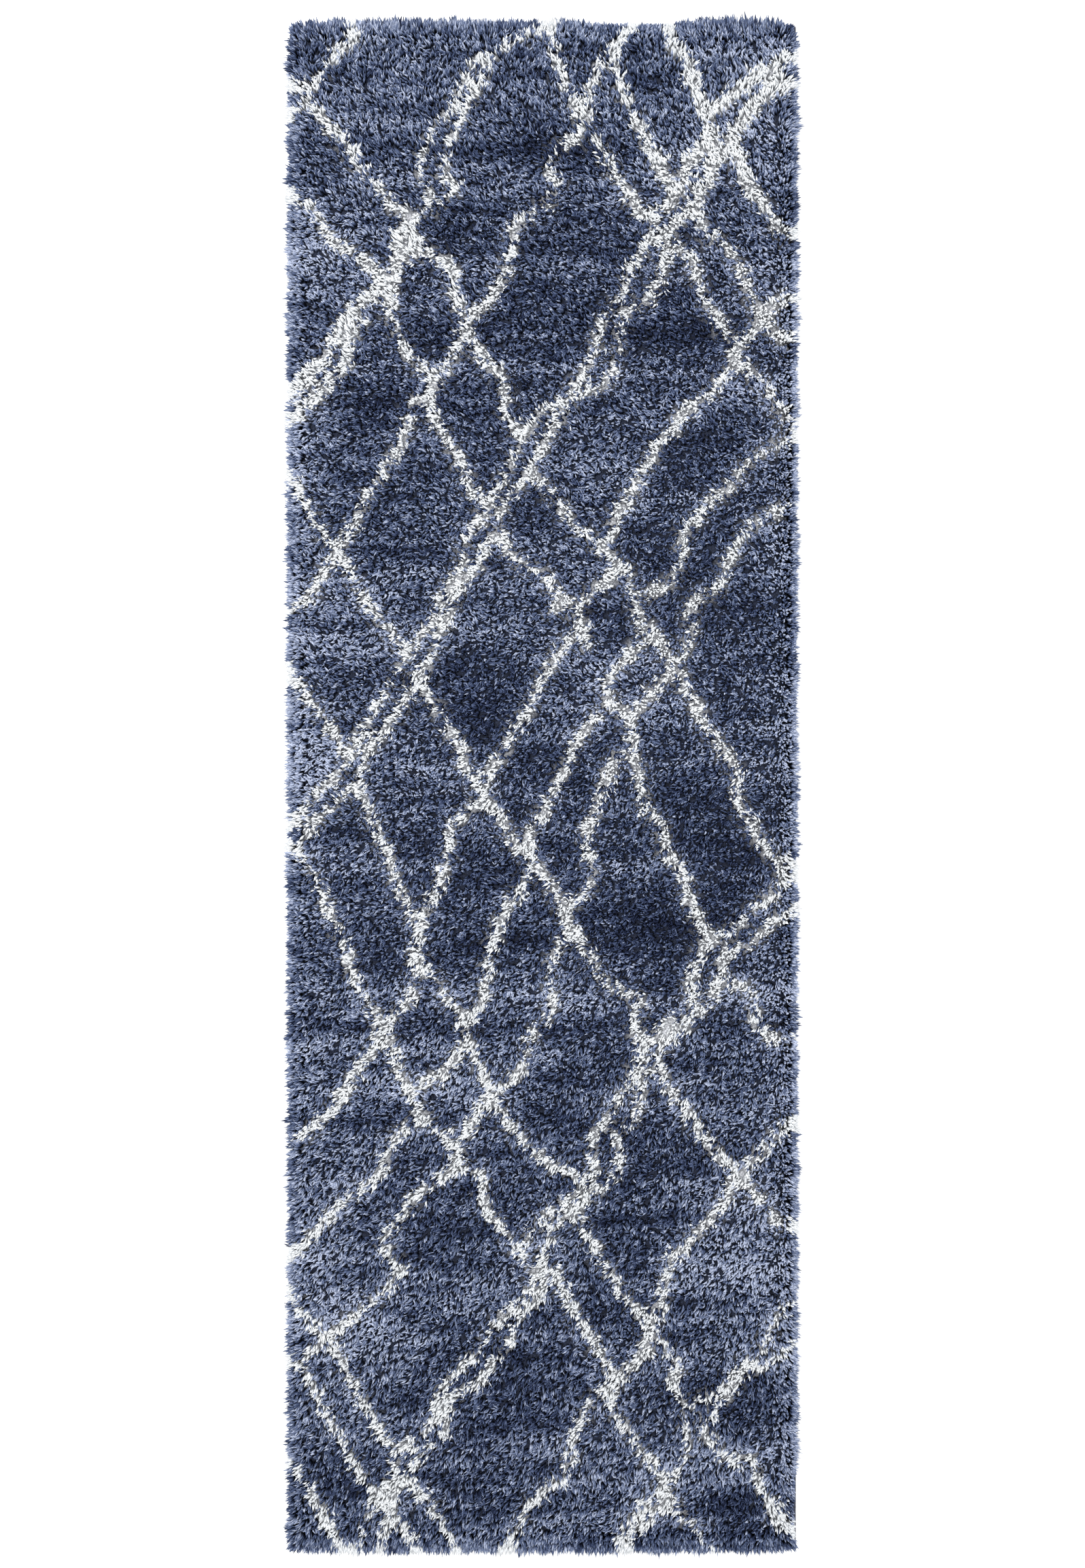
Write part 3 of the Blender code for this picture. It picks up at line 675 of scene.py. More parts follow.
@dataclass
class PileMap:
    """What the pile does at each place: which yarn it is, how dark it is and which way it lies."""

    rows: bpy.types.Object
    half_width: float = 0.330
    half_length: float = 0.998
    seed: int = 20
    shade_strength: float = 0.38
    lift: float = 0.10
    edge_reach: float = 24.0 * MM
    corner_round: float = 0.35
    pitch: float = 1.5 * MM
    softness: int = 14
    shares: np.ndarray = field(init=False)

    def __post_init__(self) -> None:
        """Looks straight down on the ivory rows at every point of a fine grid, and softens what it finds."""
        mesh = self.rows.data
        corners = [vertex.co.copy() for vertex in mesh.vertices]
        look = BVHTree.FromPolygons(corners, [tuple(face.vertices) for face in mesh.polygons]).ray_cast
        above, down = 0.1, Vector((0.0, 0.0, -1.0))
        x = np.arange(-self.half_width, self.half_width, self.pitch)
        y = np.arange(-self.half_length, self.half_length, self.pitch)
        found = [[look(Vector((a, b, above)), down)[0] is not None for a in x] for b in y]
        seen = np.array(found, dtype=float)
        for axis in (0, 1):
            for _ in range(self.softness):
                ahead, behind = (np.roll(seen, step, axis) for step in (1, -1))
                inner = [slice(None), slice(None)]
                inner[axis] = slice(1, -1)
                seen[tuple(inner)] = ((ahead + behind + 2 * seen) / 4)[tuple(inner)]
        self.shares = seen

    def ivory_share(self, places: np.ndarray) -> np.ndarray:
        """Looks up how much of the pile round each point is ivory.

        Args:
            places: points, of which x and y are used.

        Returns:
            A share from 0 to 1 for each point.
        """
        rows, columns = self.shares.shape
        column = np.clip(np.rint((places[:, 0] + self.half_width) / self.pitch), 0, columns - 1).astype(int)
        row = np.clip(np.rint((places[:, 1] + self.half_length) / self.pitch), 0, rows - 1).astype(int)
        return self.shares[row, column]

    def mark(self, slab: bpy.types.Mesh, places: np.ndarray) -> None:
        """Makes a slab carry the ivory share at each point, the same on its top and its bottom.

        Args:
            slab: a mesh from grid_slab.
            places: the points of its grid.
        """
        ivory = self.ivory_share(places)
        layer = slab.attributes.new("ivory_share", "FLOAT", "POINT")
        layer.data.foreach_set("value", np.concatenate([ivory, ivory]))

    def shade(self, places: np.ndarray) -> np.ndarray:
        """Works out how much lighter than its middle tone the pile is, patch by patch: partly the yarn's own
        uneven colour, partly painted light and shade.

        Args:
            places: points, of which x and y are used.

        Returns:
            One value for each point, negative where it is darker.
        """
        total = np.tanh(self.patched(places, SHADE_PATCHES, power=2, steepness=0.7))
        for streak in STREAKS:
            total += streak.at(places, self.seed)
        return (total + self.lift) * self.shade_strength

    def lie(self, places: np.ndarray) -> np.ndarray:
        """Looks up which way the tips lie, as an angle from +X in radians for each point."""
        return np.radians(np.interp(places[:, 1] / CM, LIE_PLACES, LIE_ANGLES))

    def overhang(self, places: np.ndarray) -> np.ndarray:
        """How far the pile hangs out over the edge here, as a share of what is usual."""
        return 1 + self.patched(places, OVERHANGS)

    def patched(self, places: np.ndarray, patches: Iterable[Patch], power: int = 4,
                steepness: float = 1.0) -> np.ndarray:
        """Adds up soft-edged patches.

        Args:
            places: points, of which x and y are used.
            patches: what to add up.
            power: how flat the top of a patch is.
            steepness: how fast a patch falls away.

        Returns:
            One value for each point.
        """
        total = np.zeros(len(places))
        for patch in patches:
            across = (places[:, 0] / CM - patch.x) / patch.across
            along = (places[:, 1] / CM - patch.y) / patch.along
            total += patch.shade * np.exp(-steepness * (across ** power + along ** power))
        return total

    def outwards(self, places: np.ndarray) -> tuple[np.ndarray, np.ndarray]:
        """Works out how the nearest edges pull the pile out over them.

        Args:
            places: points, of which x and y are used.

        Returns:
            The pull in the plane, and its strength from 0 to 1.
        """
        x, y = places[:, 0], places[:, 1]
        side = eased(1 - (self.half_width - np.abs(x)) / self.edge_reach) * np.sign(x)
        end = eased(1 - (self.half_length - np.abs(y)) / self.edge_reach) * np.sign(y)
        pull = np.stack([side, end], axis=1)
        strength = np.linalg.norm(pull, axis=1)
        at_corner = np.abs(side * end)
        pull *= ((1 - self.corner_round * at_corner) / np.maximum(strength, 1))[:, None]
        return pull, np.clip(strength, 0, 1)


# --- The pile -----------------------------------------------------------------------------------------------

STRAND_VALUES = ("root", "lean", "bend", "reach", "girth", "flat", "spin", "curl", "chance", "section")


@dataclass
class Pile:
    """The cut pile: tufts of a few strands, rooted in the ground cloth and bent over towards their lean.

    Each chance is a pair of spreads, from tuft to tuft and from strand to strand. The rim rows are extra
    tufts along the edges, with their spacing and their inset as shares of the pitch.
    """

    land: PileMap
    root_half_x: float
    root_half_y: float
    root_height: float
    strands: int = 148_000
    in_tuft: int = 4
    tuft_radius: float = 0.58
    wander: float = 0.16
    rim_rows: tuple[Pair, ...] = ((0.5, 0.0), (0.8, 1.4))
    strand_length: float = 28.4 * MM
    length_chance: Pair = (0.03, 0.05)
    length_limits: Pair = (0.84, 1.07)
    stretch: float = 0.08
    strand_width: float = 4.1 * MM
    width_spread: float = 0.22
    width_limits: Pair = (0.5, 1.5)
    flatness: Pair = (0.55, 0.95)
    curl_spread: float = 0.05
    hook: float = 2.4
    bend: float = 0.62
    bend_chance: Pair = (0.15, 0.18)
    bend_blotch: Blotch = Blotch(0.15, 24, 17, 3)
    bend_limits: Pair = (0.12, 1.2)
    least_bend: float = 0.05
    turn_chance: Pair = (0.42, 0.34)
    broad_swirl: Blotch = Blotch(0.75, 28, 20, 1)
    fine_swirl: Blotch = Blotch(0.55, 9, 9, 2)
    over_edge: float = 1.03
    edge_chance: Pair = (0.08, 0.14)
    edge_blotch: Blotch = Blotch(0.16, 13, 13, 8)
    row_edge: float = 0.78
    row_spread: float = 0.12
    row_blotches: tuple[Blotch, ...] = (Blotch(0.24, 9, 9, 4), Blotch(0.12, 21, 21, 5))
    tip_place: float = 0.75
    middle_tone: float = 0.49
    tone_chance: Pair = (0.10, 0.17)
    edge_darkening: float = 0.06
    ivory_tone: float = 0.55
    ivory_tone_share: float = 0.35
    ivory_tone_from: float = 0.51
    # A share of strands are thin wisps, made paler as a painted highlight of shiny filaments.
    wisps: float = 0.08
    wisp_width: float = 0.42
    wisp_length: float = 1.05
    wisp_painted_highlight: float = 0.18
    most_in_piece: int = 19_600
    seed: int = 7

    def roots(self, rng: np.random.Generator) -> tuple[np.ndarray, np.ndarray]:
        """Sets the tufts out in staggered rows, and the strands round each tuft's middle.

        Args:
            rng: the source of chance.

        Returns:
            The strands' roots in the plane, and each strand's tuft.
        """
        pitch = math.sqrt(4 * self.root_half_x * self.root_half_y * self.in_tuft / self.strands)
        columns, rows = (round(2 * half / pitch) for half in (self.root_half_x, self.root_half_y))
        x = np.linspace(-self.root_half_x, self.root_half_x, columns)
        y = np.linspace(-self.root_half_y, self.root_half_y, rows)
        across, along = np.meshgrid(x, y)
        across[1::2] += pitch / 2
        middles = np.stack([across.ravel(), along.ravel()], axis=1)
        rims = [self.rim(spacing * pitch, inset * pitch) for spacing, inset in self.rim_rows]
        middles = np.concatenate([middles, *rims])
        middles += rng.normal(0, self.wander * pitch, middles.shape)
        tuft = np.repeat(np.arange(len(middles)), self.in_tuft)
        away = self.tuft_radius * pitch * np.sqrt(rng.uniform(0, 1, len(tuft)))
        places = middles[tuft] + away[:, None] * directions(rng.uniform(0, math.tau, len(tuft)))
        limit = np.array([self.root_half_x, self.root_half_y])
        return np.clip(places, -limit, limit), tuft

    def rim(self, pitch: float, inset: float) -> np.ndarray:
        """Sets extra tufts out along the four edges, where the pile parts as it falls over the overlocking.

        Args:
            pitch: from one tuft to the next.
            inset: how far inside the edge.

        Returns:
            The tufts' middles in the plane.
        """
        half = np.array([self.root_half_x, self.root_half_y]) - inset
        rows = []
        for axis in (0, 1):
            run = np.arange(-half[axis], half[axis], pitch)
            for side in (-1, 1):
                row = np.full((len(run), 2), side * half[1 - axis])
                row[:, axis] = run
                rows.append(row)
        return np.concatenate(rows)

    def values(self) -> tuple[np.ndarray, dict[str, np.ndarray], np.ndarray]:
        """Works out every strand: its root, lean, size, tone and yarn.

        Returns:
            The roots, name to one value or vector for each strand, and True for each ivory strand.
        """
        rng = np.random.default_rng(self.seed)
        places, tuft = self.roots(rng)
        count, tufts = len(places), tuft.max() + 1

        def chance(spreads: Pair) -> np.ndarray:
            """Draws a value for each strand, partly shared by its tuft."""
            return rng.normal(0, spreads[0], tufts)[tuft] + rng.normal(0, spreads[1], count)

        lie = self.land.lie(places)
        swirl = self.broad_swirl.at(places, self.seed) + self.fine_swirl.at(places, self.seed)
        bend = self.bend + chance(self.bend_chance) + self.bend_blotch.at(places, self.seed)
        bend = np.clip(bend, *self.bend_limits)
        pull, strength = self.land.outwards(places)
        over_edge = self.over_edge + chance(self.edge_chance) + self.edge_blotch.at(places, self.seed)
        over_edge *= self.land.overhang(places)
        turned = directions(lie + swirl + chance(self.turn_chance)) * (bend * (1 - strength))[:, None]
        turned += pull * over_edge[:, None]
        bend = np.maximum(np.linalg.norm(turned, axis=1), self.least_bend)
        lean = turned / bend[:, None]
        length = self.strand_length * np.clip(1 + chance(self.length_chance), *self.length_limits)
        length *= 1 + self.stretch * bend ** 2
        width = self.strand_width * np.clip(rng.normal(1.0, self.width_spread, count), *self.width_limits)
        wisp = rng.uniform(0, 1, count) < self.wisps
        width[wisp] *= self.wisp_width
        length[wisp] *= self.wisp_length

        reach = (length * bend / self.hook)[:, None]
        share = self.land.ivory_share(places + directions(lie) * self.tip_place * reach)
        share += self.land.patched(places, FULL_ROWS)
        for blotch in self.row_blotches:
            share += blotch.at(places, self.seed)
        by_tuft = np.bincount(tuft, share) / self.in_tuft + rng.normal(0, self.row_spread, tufts)
        ivory = (by_tuft > self.row_edge)[tuft]
        tone = self.middle_tone + self.land.shade(places + lean * reach) + chance(self.tone_chance)
        tone -= self.edge_darkening * strength
        # Painted highlight: the thin wisps are made paler, for shiny filaments.
        tone[wisp] += self.wisp_painted_highlight
        tone[ivory] = self.ivory_tone + self.ivory_tone_share * (tone[ivory] - self.ivory_tone_from)
        flat_zero = np.zeros(count)
        roots = np.column_stack([places, flat_zero + self.root_height])
        return roots, {
            "root": roots,
            "lean": np.column_stack([lean, flat_zero]),
            "bend": bend,
            "reach": length,
            "girth": width / 2,
            "flat": rng.uniform(*self.flatness, count),
            "spin": rng.uniform(0, math.tau, count),
            "curl": rng.normal(0, self.curl_spread, count),
            "tone": tone,
            "chance": rng.uniform(0, 100, count),
        }, ivory

    def tree(self) -> bpy.types.NodeTree:
        """Builds the geometry tree that grows a strand on every point.

        Returns:
            The tree. A strand is a three-sided leaf, bent over along an arc towards its lean.
        """
        graph, given = new_growth("strands", {
            "Foot Share": 0.6, "Bluntness": 8.0, "Ring Lift": 1.10, "Hook": self.hook,
        })
        cone = graph.node("GeometryNodeMeshCone", {
            "Vertices": 3, "Side Segments": 2, "Radius Top": 0.0, "Radius Bottom": 1.0, "Depth": 1.0,
        })
        place = graph.node("GeometryNodeInputPosition")
        _, _, height = graph.split(place)
        lift = given.outputs["Ring Lift"]
        curve = graph.math("SUBTRACT", graph.math("ADD", lift, 1.0), graph.math("MULTIPLY", lift, height))
        lifted = graph.math("MULTIPLY", height, curve)
        foot = given.outputs["Foot Share"]
        filled = graph.math("MINIMUM", graph.math("MULTIPLY", height, 3.0), 1.0)
        swell = graph.math("MULTIPLY_ADD", graph.math("SUBTRACT", 1.0, foot), filled, foot)
        blunt = graph.math("POWER", height, given.outputs["Bluntness"])
        radius = graph.math("MULTIPLY", swell, graph.math("SUBTRACT", 1.0, blunt))
        around = graph.vector("NORMALIZE", graph.vector("MULTIPLY", place, (1.0, 1.0, 0.0)))
        shape = graph.vector("ADD", graph.scaled(around, radius), graph.joined(z=lifted))
        leaf = graph.moved(cone, shape)
        spread = graph.node("GeometryNodeInstanceOnPoints", {
            "Points": given.outputs["Geometry"], "Instance": leaf,
        })
        strands = graph.node("GeometryNodeRealizeInstances", {0: spread})

        root, lean = graph.carried("root", "FLOAT_VECTOR"), graph.carried("lean", "FLOAT_VECTOR")
        local = graph.vector("SUBTRACT", graph.node("GeometryNodeInputPosition"), root)
        x, y, z = graph.split(local)
        strands = graph.stored(strands, "rise", z)
        strands = graph.stored(strands, "section", graph.joined(x, y), "FLOAT_VECTOR")
        grain = graph.vector("MULTIPLY", local, (5.0, 5.0, 1.6))
        chance = graph.carried("chance")
        grain = graph.vector("ADD", grain, graph.joined(chance, chance, chance))
        strands = graph.stored(strands, "fibre", grain, "FLOAT_VECTOR")

        rise, bend, reach, girth = (graph.carried(name) for name in ("rise", "bend", "reach", "girth"))
        section = graph.vector("MULTIPLY", graph.carried("section", "FLOAT_VECTOR"),
                               graph.joined(girth, graph.math("MULTIPLY", girth, graph.carried("flat"))))
        section = graph.node("ShaderNodeVectorRotate", {"Vector": section, "Angle": graph.carried("spin")},
                             rotation_type="Z_AXIS")
        hook = given.outputs["Hook"]
        turn = graph.math("MULTIPLY", bend, graph.math("POWER", rise, graph.math("SUBTRACT", hook, 1.0)))
        cosine, sine = graph.math("COSINE", turn), graph.math("SINE", turn)
        over = graph.math("DIVIDE", graph.math("MULTIPLY", turn, rise), hook)
        drop = graph.math("MULTIPLY", graph.math("MULTIPLY", turn, turn), rise)
        drop = graph.math("DIVIDE", drop, graph.math("MULTIPLY_ADD", hook, 4.0, -2.0))
        forward = graph.math("MULTIPLY", reach, over)
        upward = graph.math("MULTIPLY", reach, graph.math("SUBTRACT", rise, drop))
        sway = graph.math("MULTIPLY", graph.math("MULTIPLY", graph.carried("curl"), reach),
                          graph.math("SINE", graph.math("MULTIPLY", rise, 4.0)))
        across = graph.vector("CROSS_PRODUCT", lean, (0.0, 0.0, 1.0))
        centre = graph.vector("ADD", root, graph.scaled(lean, forward))
        centre = graph.vector("ADD", centre, graph.joined(z=upward))
        centre = graph.vector("ADD", centre, graph.scaled(across, sway))
        ahead = graph.vector("DOT_PRODUCT", section, lean).outputs["Value"]
        tilt = graph.vector("ADD", graph.scaled(lean, graph.math("SUBTRACT", cosine, 1.0)),
                            graph.joined(z=graph.math("MULTIPLY", sine, -1.0)))
        turned = graph.vector("ADD", section, graph.scaled(tilt, ahead))
        strands = graph.moved(strands, graph.vector("ADD", centre, turned))
        return end_growth(graph, strands, given)

    def bake_map(self, mesh: bpy.types.Mesh, count: int) -> None:
        """Gives every strand its own small cell of a UV map: its sides side by side, root to tip upwards.

        Args:
            mesh: the piece's mesh, strand after strand.
            count: how many strands it holds.
        """
        corners, points = len(mesh.loops) // count, len(mesh.vertices) // count
        template = np.empty(len(mesh.loops), dtype=np.int32)
        mesh.loops.foreach_get("vertex_index", template)
        template = template[:corners] % points
        ring = np.where(template == 0, 0, (template + 2) // 3)
        side = np.where(template == 0, 0, (template - 1) % 3).astype(float)
        start = 0
        for face in mesh.polygons:
            if start >= corners:
                break
            loops = slice(start, start + face.loop_total)
            ends = side[loops][template[loops] != 0]
            if set(ends) == {0.0, 2.0}:
                side[loops] = np.where(side[loops] == 0.0, 3.0, side[loops])
                ends = side[loops][template[loops] != 0]
            side[loops] = np.where(template[loops] == 0, ends.mean(), side[loops])
            start += face.loop_total
        cell = np.stack([0.12 + 0.25 * side, 0.9 - 0.8 * ring / ring.max()], axis=1)
        columns = math.ceil(math.sqrt(count))
        row, column = np.divmod(np.arange(count), columns)
        corner = np.stack([column, row], axis=1)
        places = (corner[:, None, :] + cell[None, :, :]) / columns
        mesh.uv_layers.new(name=BAKE_MAP).data.foreach_set("uv", places.astype(np.float32).ravel())

    def build(self) -> list[bpy.types.Object]:
        """Grows the pile in pieces from one end of the rug to the other.

        Returns:
            The pieces, heather first.
        """
        roots, values, is_ivory = self.values()
        tree, pieces = self.tree(), []
        for yarn, chosen in ((Yarn.HEATHER, ~is_ivory), (Yarn.IVORY, is_ivory)):
            material = yarn.value.material()
            order = np.flatnonzero(chosen)
            order = order[np.argsort(roots[order, 1], kind="stable")]
            groups = np.array_split(order, math.ceil(len(order) / self.most_in_piece))
            for number, group in enumerate(groups, start=1):
                name = f"{yarn.name.lower()}_strands_{number}"
                seed = points_mesh(name, roots[group], {key: rows[group] for key, rows in values.items()})
                piece = grown(name, seed, tree, {"Material": material})
                for key in STRAND_VALUES:
                    piece.data.attributes.remove(piece.data.attributes[key])
                self.bake_map(piece.data, len(group))
                pieces.append(piece)
                LOG.info("%s: %d strands", name, len(group))
        return pieces


@dataclass
class RootBed:
    """The crowded feet of the strands, a low bumpy bed that closes the view down to the cloth; its dark
    colour is painted shade.
    """

    land: PileMap
    half_x: float
    half_y: float
    bottom: float
    height: float = 11.0 * MM
    lumps: Blotch = Blotch(2.5 * MM, 11, 11)
    slope: float = 20.0 * MM
    rim_height: float = 0.15
    pitch: float = 8.0 * MM
    seed: int = 60

    def build(self) -> bpy.types.Object:
        """Makes the bed as a closed slab with a bumpy top that falls away at the edges.

        Returns:
            The bed.
        """
        x = np.linspace(-self.half_x, self.half_x, round(2 * self.half_x / self.pitch) + 1)
        y = np.linspace(-self.half_y, self.half_y, round(2 * self.half_y / self.pitch) + 1)
        across, along = np.meshgrid(x, y)
        places = np.stack([across.ravel(), along.ravel()], axis=1)
        inside = np.minimum(self.half_x - np.abs(places[:, 0]), self.half_y - np.abs(places[:, 1]))
        rise = self.height + self.lumps.at(places, self.seed)
        rise *= self.rim_height + (1 - self.rim_height) * eased(inside / self.slope)
        top = (self.bottom + rise).reshape(across.shape)
        mesh = grid_slab("pile_roots", x, y, top, np.full_like(top, self.bottom))
        self.land.mark(mesh, places)
        mesh.materials.append(RootsFinish().material())
        return placed("pile_roots", mesh)


# --- The wrapped edges --------------------------------------------------------------------------------------


@dataclass
class Overlock:
    """The navy overlocking: yarn wrapped round the edge cord and through the cloth's margin.

    A wrap is flatter and lower at its inner end, by the shares in thinning and sinking.
    """

    side: str
    low: Vector
    high: Vector
    pitch: float = 2.0 * MM
    roll_middle: float = 2.6 * MM
    reach_out: float = 2.2 * MM
    reach_in: float = 6.0 * MM
    half_height: float = 2.15 * MM
    half_thickness: float = 0.42 * MM
    half_width: float = 1.15 * MM
    slant: float = 1.6 * MM
    thinning: float = 0.38
    sinking: float = 0.30
    turning: float = 0.06
    seed: float = 3.0

    def tree(self) -> bpy.types.NodeTree:
        """Builds the geometry tree that wraps a straight edge.

        Returns:
            The tree. Its input is the edge's line, which the wraps follow.
        """
        graph, given = new_growth("overlock_wraps", {
            "Pitch": self.pitch, "Reach Out": self.reach_out, "Reach In": self.reach_in,
            "Half Height": self.half_height, "Half Thickness": self.half_thickness,
            "Half Width": self.half_width, "Slant": self.slant, "Middle": self.roll_middle,
            "Heading": 0.0, "Seed": self.seed,
        })
        size = given.outputs
        ring = graph.node("GeometryNodeCurvePrimitiveCircle", {"Resolution": 9, "Radius": 1.0}, mode="RADIUS")
        x, y, _ = graph.split(graph.node("GeometryNodeInputPosition"))
        inward = graph.math("MAXIMUM", graph.math("MULTIPLY", x, -1.0), 0.0)
        outward = graph.math("MAXIMUM", x, 0.0)
        out = graph.math("SUBTRACT", graph.math("MULTIPLY", outward, size["Reach Out"]),
                         graph.math("MULTIPLY", inward, size["Reach In"]))
        thinner = graph.math("MULTIPLY_ADD", inward, -self.thinning, 1.0)
        lower = graph.math("MULTIPLY_ADD", inward, -self.sinking, 1.0)
        height = graph.math("MULTIPLY", size["Half Height"], thinner)
        middle = graph.math("MULTIPLY", size["Middle"], lower)
        up = graph.math("MULTIPLY_ADD", y, height, middle)
        path = graph.moved(ring, graph.joined(out, 0.0, up))
        profile = graph.node("GeometryNodeCurvePrimitiveCircle", {
            "Resolution": 4, "Radius": size["Half Thickness"],
        }, mode="RADIUS")
        wrap = graph.node("GeometryNodeCurveToMesh", {"Curve": path, "Profile Curve": profile})
        x, y, z = graph.split(graph.node("GeometryNodeInputPosition"))
        widened = graph.math("MULTIPLY", y, graph.math("DIVIDE", size["Half Width"], size["Half Thickness"]))
        leaning = graph.math("DIVIDE", graph.math("SUBTRACT", z, size["Middle"]), size["Half Height"])
        slanted = graph.math("MULTIPLY_ADD", leaning, graph.math("MULTIPLY", size["Slant"], 0.5), widened)
        wrap = graph.moved(wrap, graph.joined(x, slanted, z))

        line = graph.node("GeometryNodeMeshToCurve", {0: size["Geometry"]})
        spots = graph.node("GeometryNodeCurveToPoints", {
            "Curve": line, "Length": size["Pitch"],
        }, mode="LENGTH")
        turn = graph.node("FunctionNodeRandomValue", {
            "Min": -self.turning, "Max": self.turning, "Seed": size["Seed"],
        }, data_type="FLOAT")
        turn = next(socket for socket in turn.outputs if socket.enabled)
        heading = graph.joined(0.0, 0.0, graph.math("ADD", size["Heading"], turn))
        spread = graph.node("GeometryNodeInstanceOnPoints", {
            "Points": spots.outputs["Points"], "Instance": wrap, "Rotation": heading,
        })
        return end_growth(graph, graph.node("GeometryNodeRealizeInstances", {0: spread}), given)

    def build(self, tree: bpy.types.NodeTree, material: bpy.types.Material) -> bpy.types.Object:
        """Wraps this edge.

        Args:
            tree: the wraps' geometry tree.
            material: the yarn.

        Returns:
            The wraps as one piece.
        """
        runs_along_y = self.side in ("left", "right")
        end = self.high.y if runs_along_y else self.high.x
        end -= self.half_width + self.slant / 2
        outer = {"left": self.low.x, "right": self.high.x, "near": self.low.y, "far": self.high.y}[self.side]
        middle = outer - math.copysign(self.reach_out + self.half_thickness, outer)
        ends = [(middle, reach, 0.0) if runs_along_y else (reach, middle, 0.0) for reach in (-end, end)]
        heading = {"right": 0.0, "far": math.pi / 2, "left": math.pi, "near": -math.pi / 2}[self.side]
        seed = bpy.data.meshes.new(f"{self.side}_edge_line")
        seed.from_pydata(ends, [(0, 1)], [])
        return grown(f"overlock_wraps_{self.side}", seed, tree, {"Material": material, "Heading": heading})


# --- The ground cloth ---------------------------------------------------------------------------------------


@dataclass
class GroundCloth:
    """The woven ground cloth: a thin sheet whose margin is lifted where the overlocking grips it."""

    land: PileMap
    low: Vector
    high: Vector
    grip: float = 4.5 * MM
    lift: float = 1.1 * MM
    margin: float = 1.2 * MM
    pitch: float = 12.0 * MM

    def build(self) -> bpy.types.Object:
        """Makes the cloth as a closed sheet.

        Returns:
            The cloth.
        """
        x = self.lines_at(self.high.x)
        y = self.lines_at(self.high.y)
        across, along = np.meshgrid(x, y)
        inside = np.minimum(self.high.x - np.abs(across), self.high.y - np.abs(along))
        bottom = self.low.z + self.lift * (1 - eased((inside - self.grip) / self.margin))
        top = np.full_like(bottom, self.high.z)
        mesh = grid_slab("woven_ground_cloth", x, y, top, bottom)
        places = np.stack([across.ravel(), along.ravel()], axis=1)
        self.land.mark(mesh, places)
        mesh.materials.append(ClothFinish().material())
        return placed("woven_ground_cloth", mesh)

    def lines_at(self, half: float) -> np.ndarray:
        """Sets out grid lines from edge to edge, closer at the margins.

        Args:
            half: from the middle to the edge.

        Returns:
            The lines' places, from low to high.
        """
        inner = half - self.grip - self.margin
        middle = np.linspace(-inner, inner, round(2 * inner / self.pitch) + 1)
        margin = [half, half - self.grip]
        return np.concatenate([[-value for value in margin], middle, margin[::-1]])


# --- The studio ---------------------------------------------------------------------------------------------


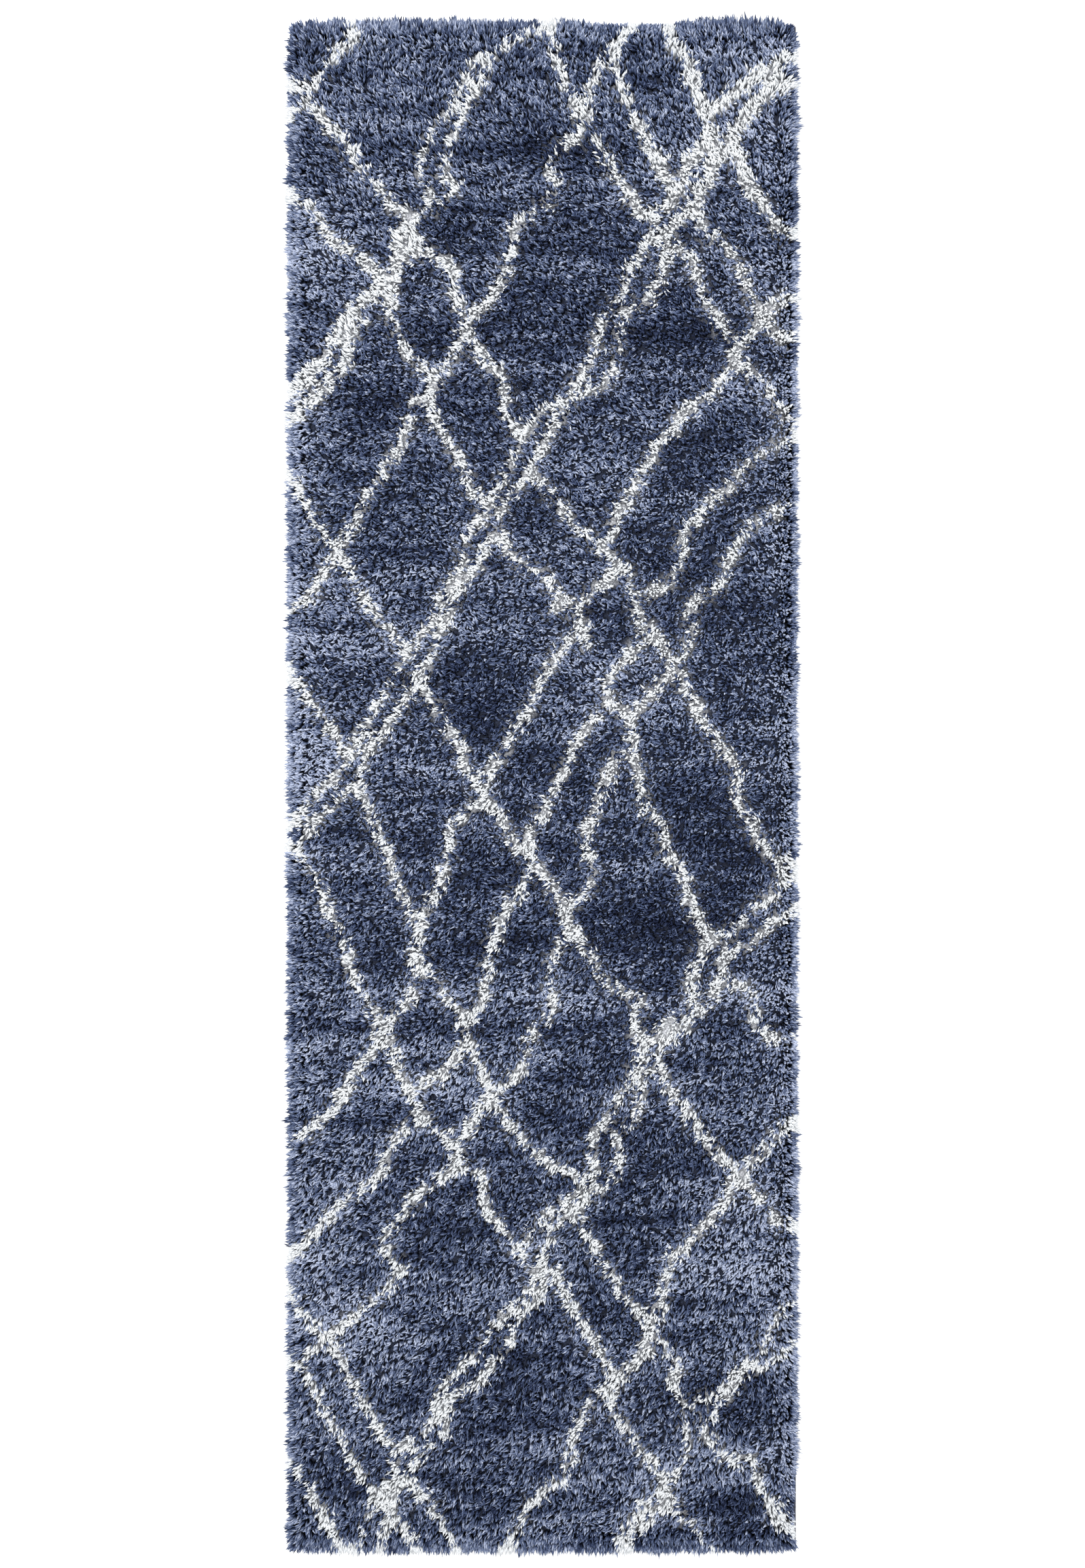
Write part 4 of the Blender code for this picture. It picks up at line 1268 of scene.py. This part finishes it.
@dataclass
class Studio:
    """A plain pale floor, soft light from above, and a camera straight over the rug."""

    eye_height: float = 3.6
    eye_x: float = -0.0006
    eye_y: float = 0.0032
    seen_length: float = 2.065
    sensor: float = 36.0
    floor_size: float = 14.0
    sky: float = 1.15
    lamp_power: float = 140.0
    lamp_width: float = 2.6
    lamp_length: float = 3.2
    lamp_place: tuple[float, float, float] = (-0.25, 0.45, 3.2)

    def build(self) -> None:
        """Adds the floor, the light and the camera."""
        self.add_floor()
        self.add_light()
        self.add_camera()
        bpy.context.scene.view_settings.view_transform = "Standard"

    def add_floor(self) -> None:
        """Adds the floor."""
        half = self.floor_size / 2
        mesh = bpy.data.meshes.new("floor")
        corners = [(-half, -half, 0), (half, -half, 0), (half, half, 0), (-half, half, 0)]
        mesh.from_pydata(corners, [], [(0, 1, 2, 3)])
        mesh.materials.append(FloorFinish().material())
        placed("floor", mesh)

    def add_light(self) -> None:
        """Adds a white sky and one broad lamp overhead, a little towards the far end and the left."""
        world = bpy.data.worlds.new("studio")
        bpy.context.scene.world = world
        world.use_nodes = True
        graph = Graph(world.node_tree)
        sky = graph.node("ShaderNodeBackground", {"Color": (1.0, 1.0, 1.0, 1.0), "Strength": self.sky})
        graph.node("ShaderNodeOutputWorld", {"Surface": sky})
        lamp = bpy.data.lights.new("overhead", "AREA")
        lamp.shape = "RECTANGLE"
        lamp.size = self.lamp_width
        lamp.size_y = self.lamp_length
        lamp.energy = self.lamp_power
        made = bpy.data.objects.new("overhead", lamp)
        made.location = self.lamp_place
        made.rotation_euler = (-made.location).to_track_quat("-Z", "Y").to_euler()
        bpy.context.scene.collection.objects.link(made)

    def add_camera(self) -> None:
        """Adds the camera, which looks straight down with the far end of the rug at the top."""
        lens = bpy.data.cameras.new("eye")
        lens.sensor_fit = "VERTICAL"
        lens.sensor_height = self.sensor
        lens.lens = self.sensor * self.eye_height / self.seen_length
        eye = bpy.data.objects.new("eye", lens)
        eye.location = (self.eye_x, self.eye_y, self.eye_height)
        bpy.context.scene.collection.objects.link(eye)
        bpy.context.scene.camera = eye


# --- The rug ------------------------------------------------------------------------------------------------


def keep(piece: bpy.types.Object, slot: str, *nodes: str) -> None:
    """Makes a piece part of the rug.

    Args:
        piece: the finished piece.
        slot: not used.
        nodes: the CAD nodes that it stands for.
    """
    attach(piece, BODY)
    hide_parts(*nodes)
    LOG.info("%s: %d faces", piece.name, len(piece.data.polygons))


def main() -> None:
    """Builds the rug from the ground up, then the studio round it."""
    logging.basicConfig(level=logging.INFO, format="%(message)s")
    pile_low, pile_high = (Vector(corner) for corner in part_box("heather_pile"))
    land = PileMap(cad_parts["ivory_lines"])
    cloth_low, cloth_high = (Vector(corner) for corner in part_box("ground_cloth"))

    cloth = GroundCloth(land, cloth_low, cloth_high).build()
    keep(cloth, "ground_cloth", "ground_cloth")

    half_x, half_y = cloth_high.x - GroundCloth.grip, cloth_high.y - GroundCloth.grip
    bed = RootBed(land, half_x, half_y, pile_low.z).build()
    keep(bed, "heather_yarn", "heather_pile", "ivory_lines")
    pile = Pile(land, half_x, half_y, cloth_high.z).build()
    for piece in pile:
        yarn = "heather" if piece.name.startswith("heather") else "ivory"
        keep(piece, f"{yarn}_yarn", "heather_pile" if yarn == "heather" else "ivory_lines")

    wraps, tree, navy = [], None, WrapFinish().material()
    for side in SIDES:
        low, high = (Vector(corner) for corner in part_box(f"overlock_{side}"))
        overlock = Overlock(side, low, high)
        tree = tree or overlock.tree()
        wraps.append(overlock.build(tree, navy))
        keep(wraps[-1], "overlock_yarn", f"overlock_{side}")
    cotton = CordFinish().material()
    for side in SIDES:
        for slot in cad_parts[f"edge_cord_{side}"].material_slots:
            slot.material = cotton

    Studio().build()


if __name__ == "__main__":
    main()
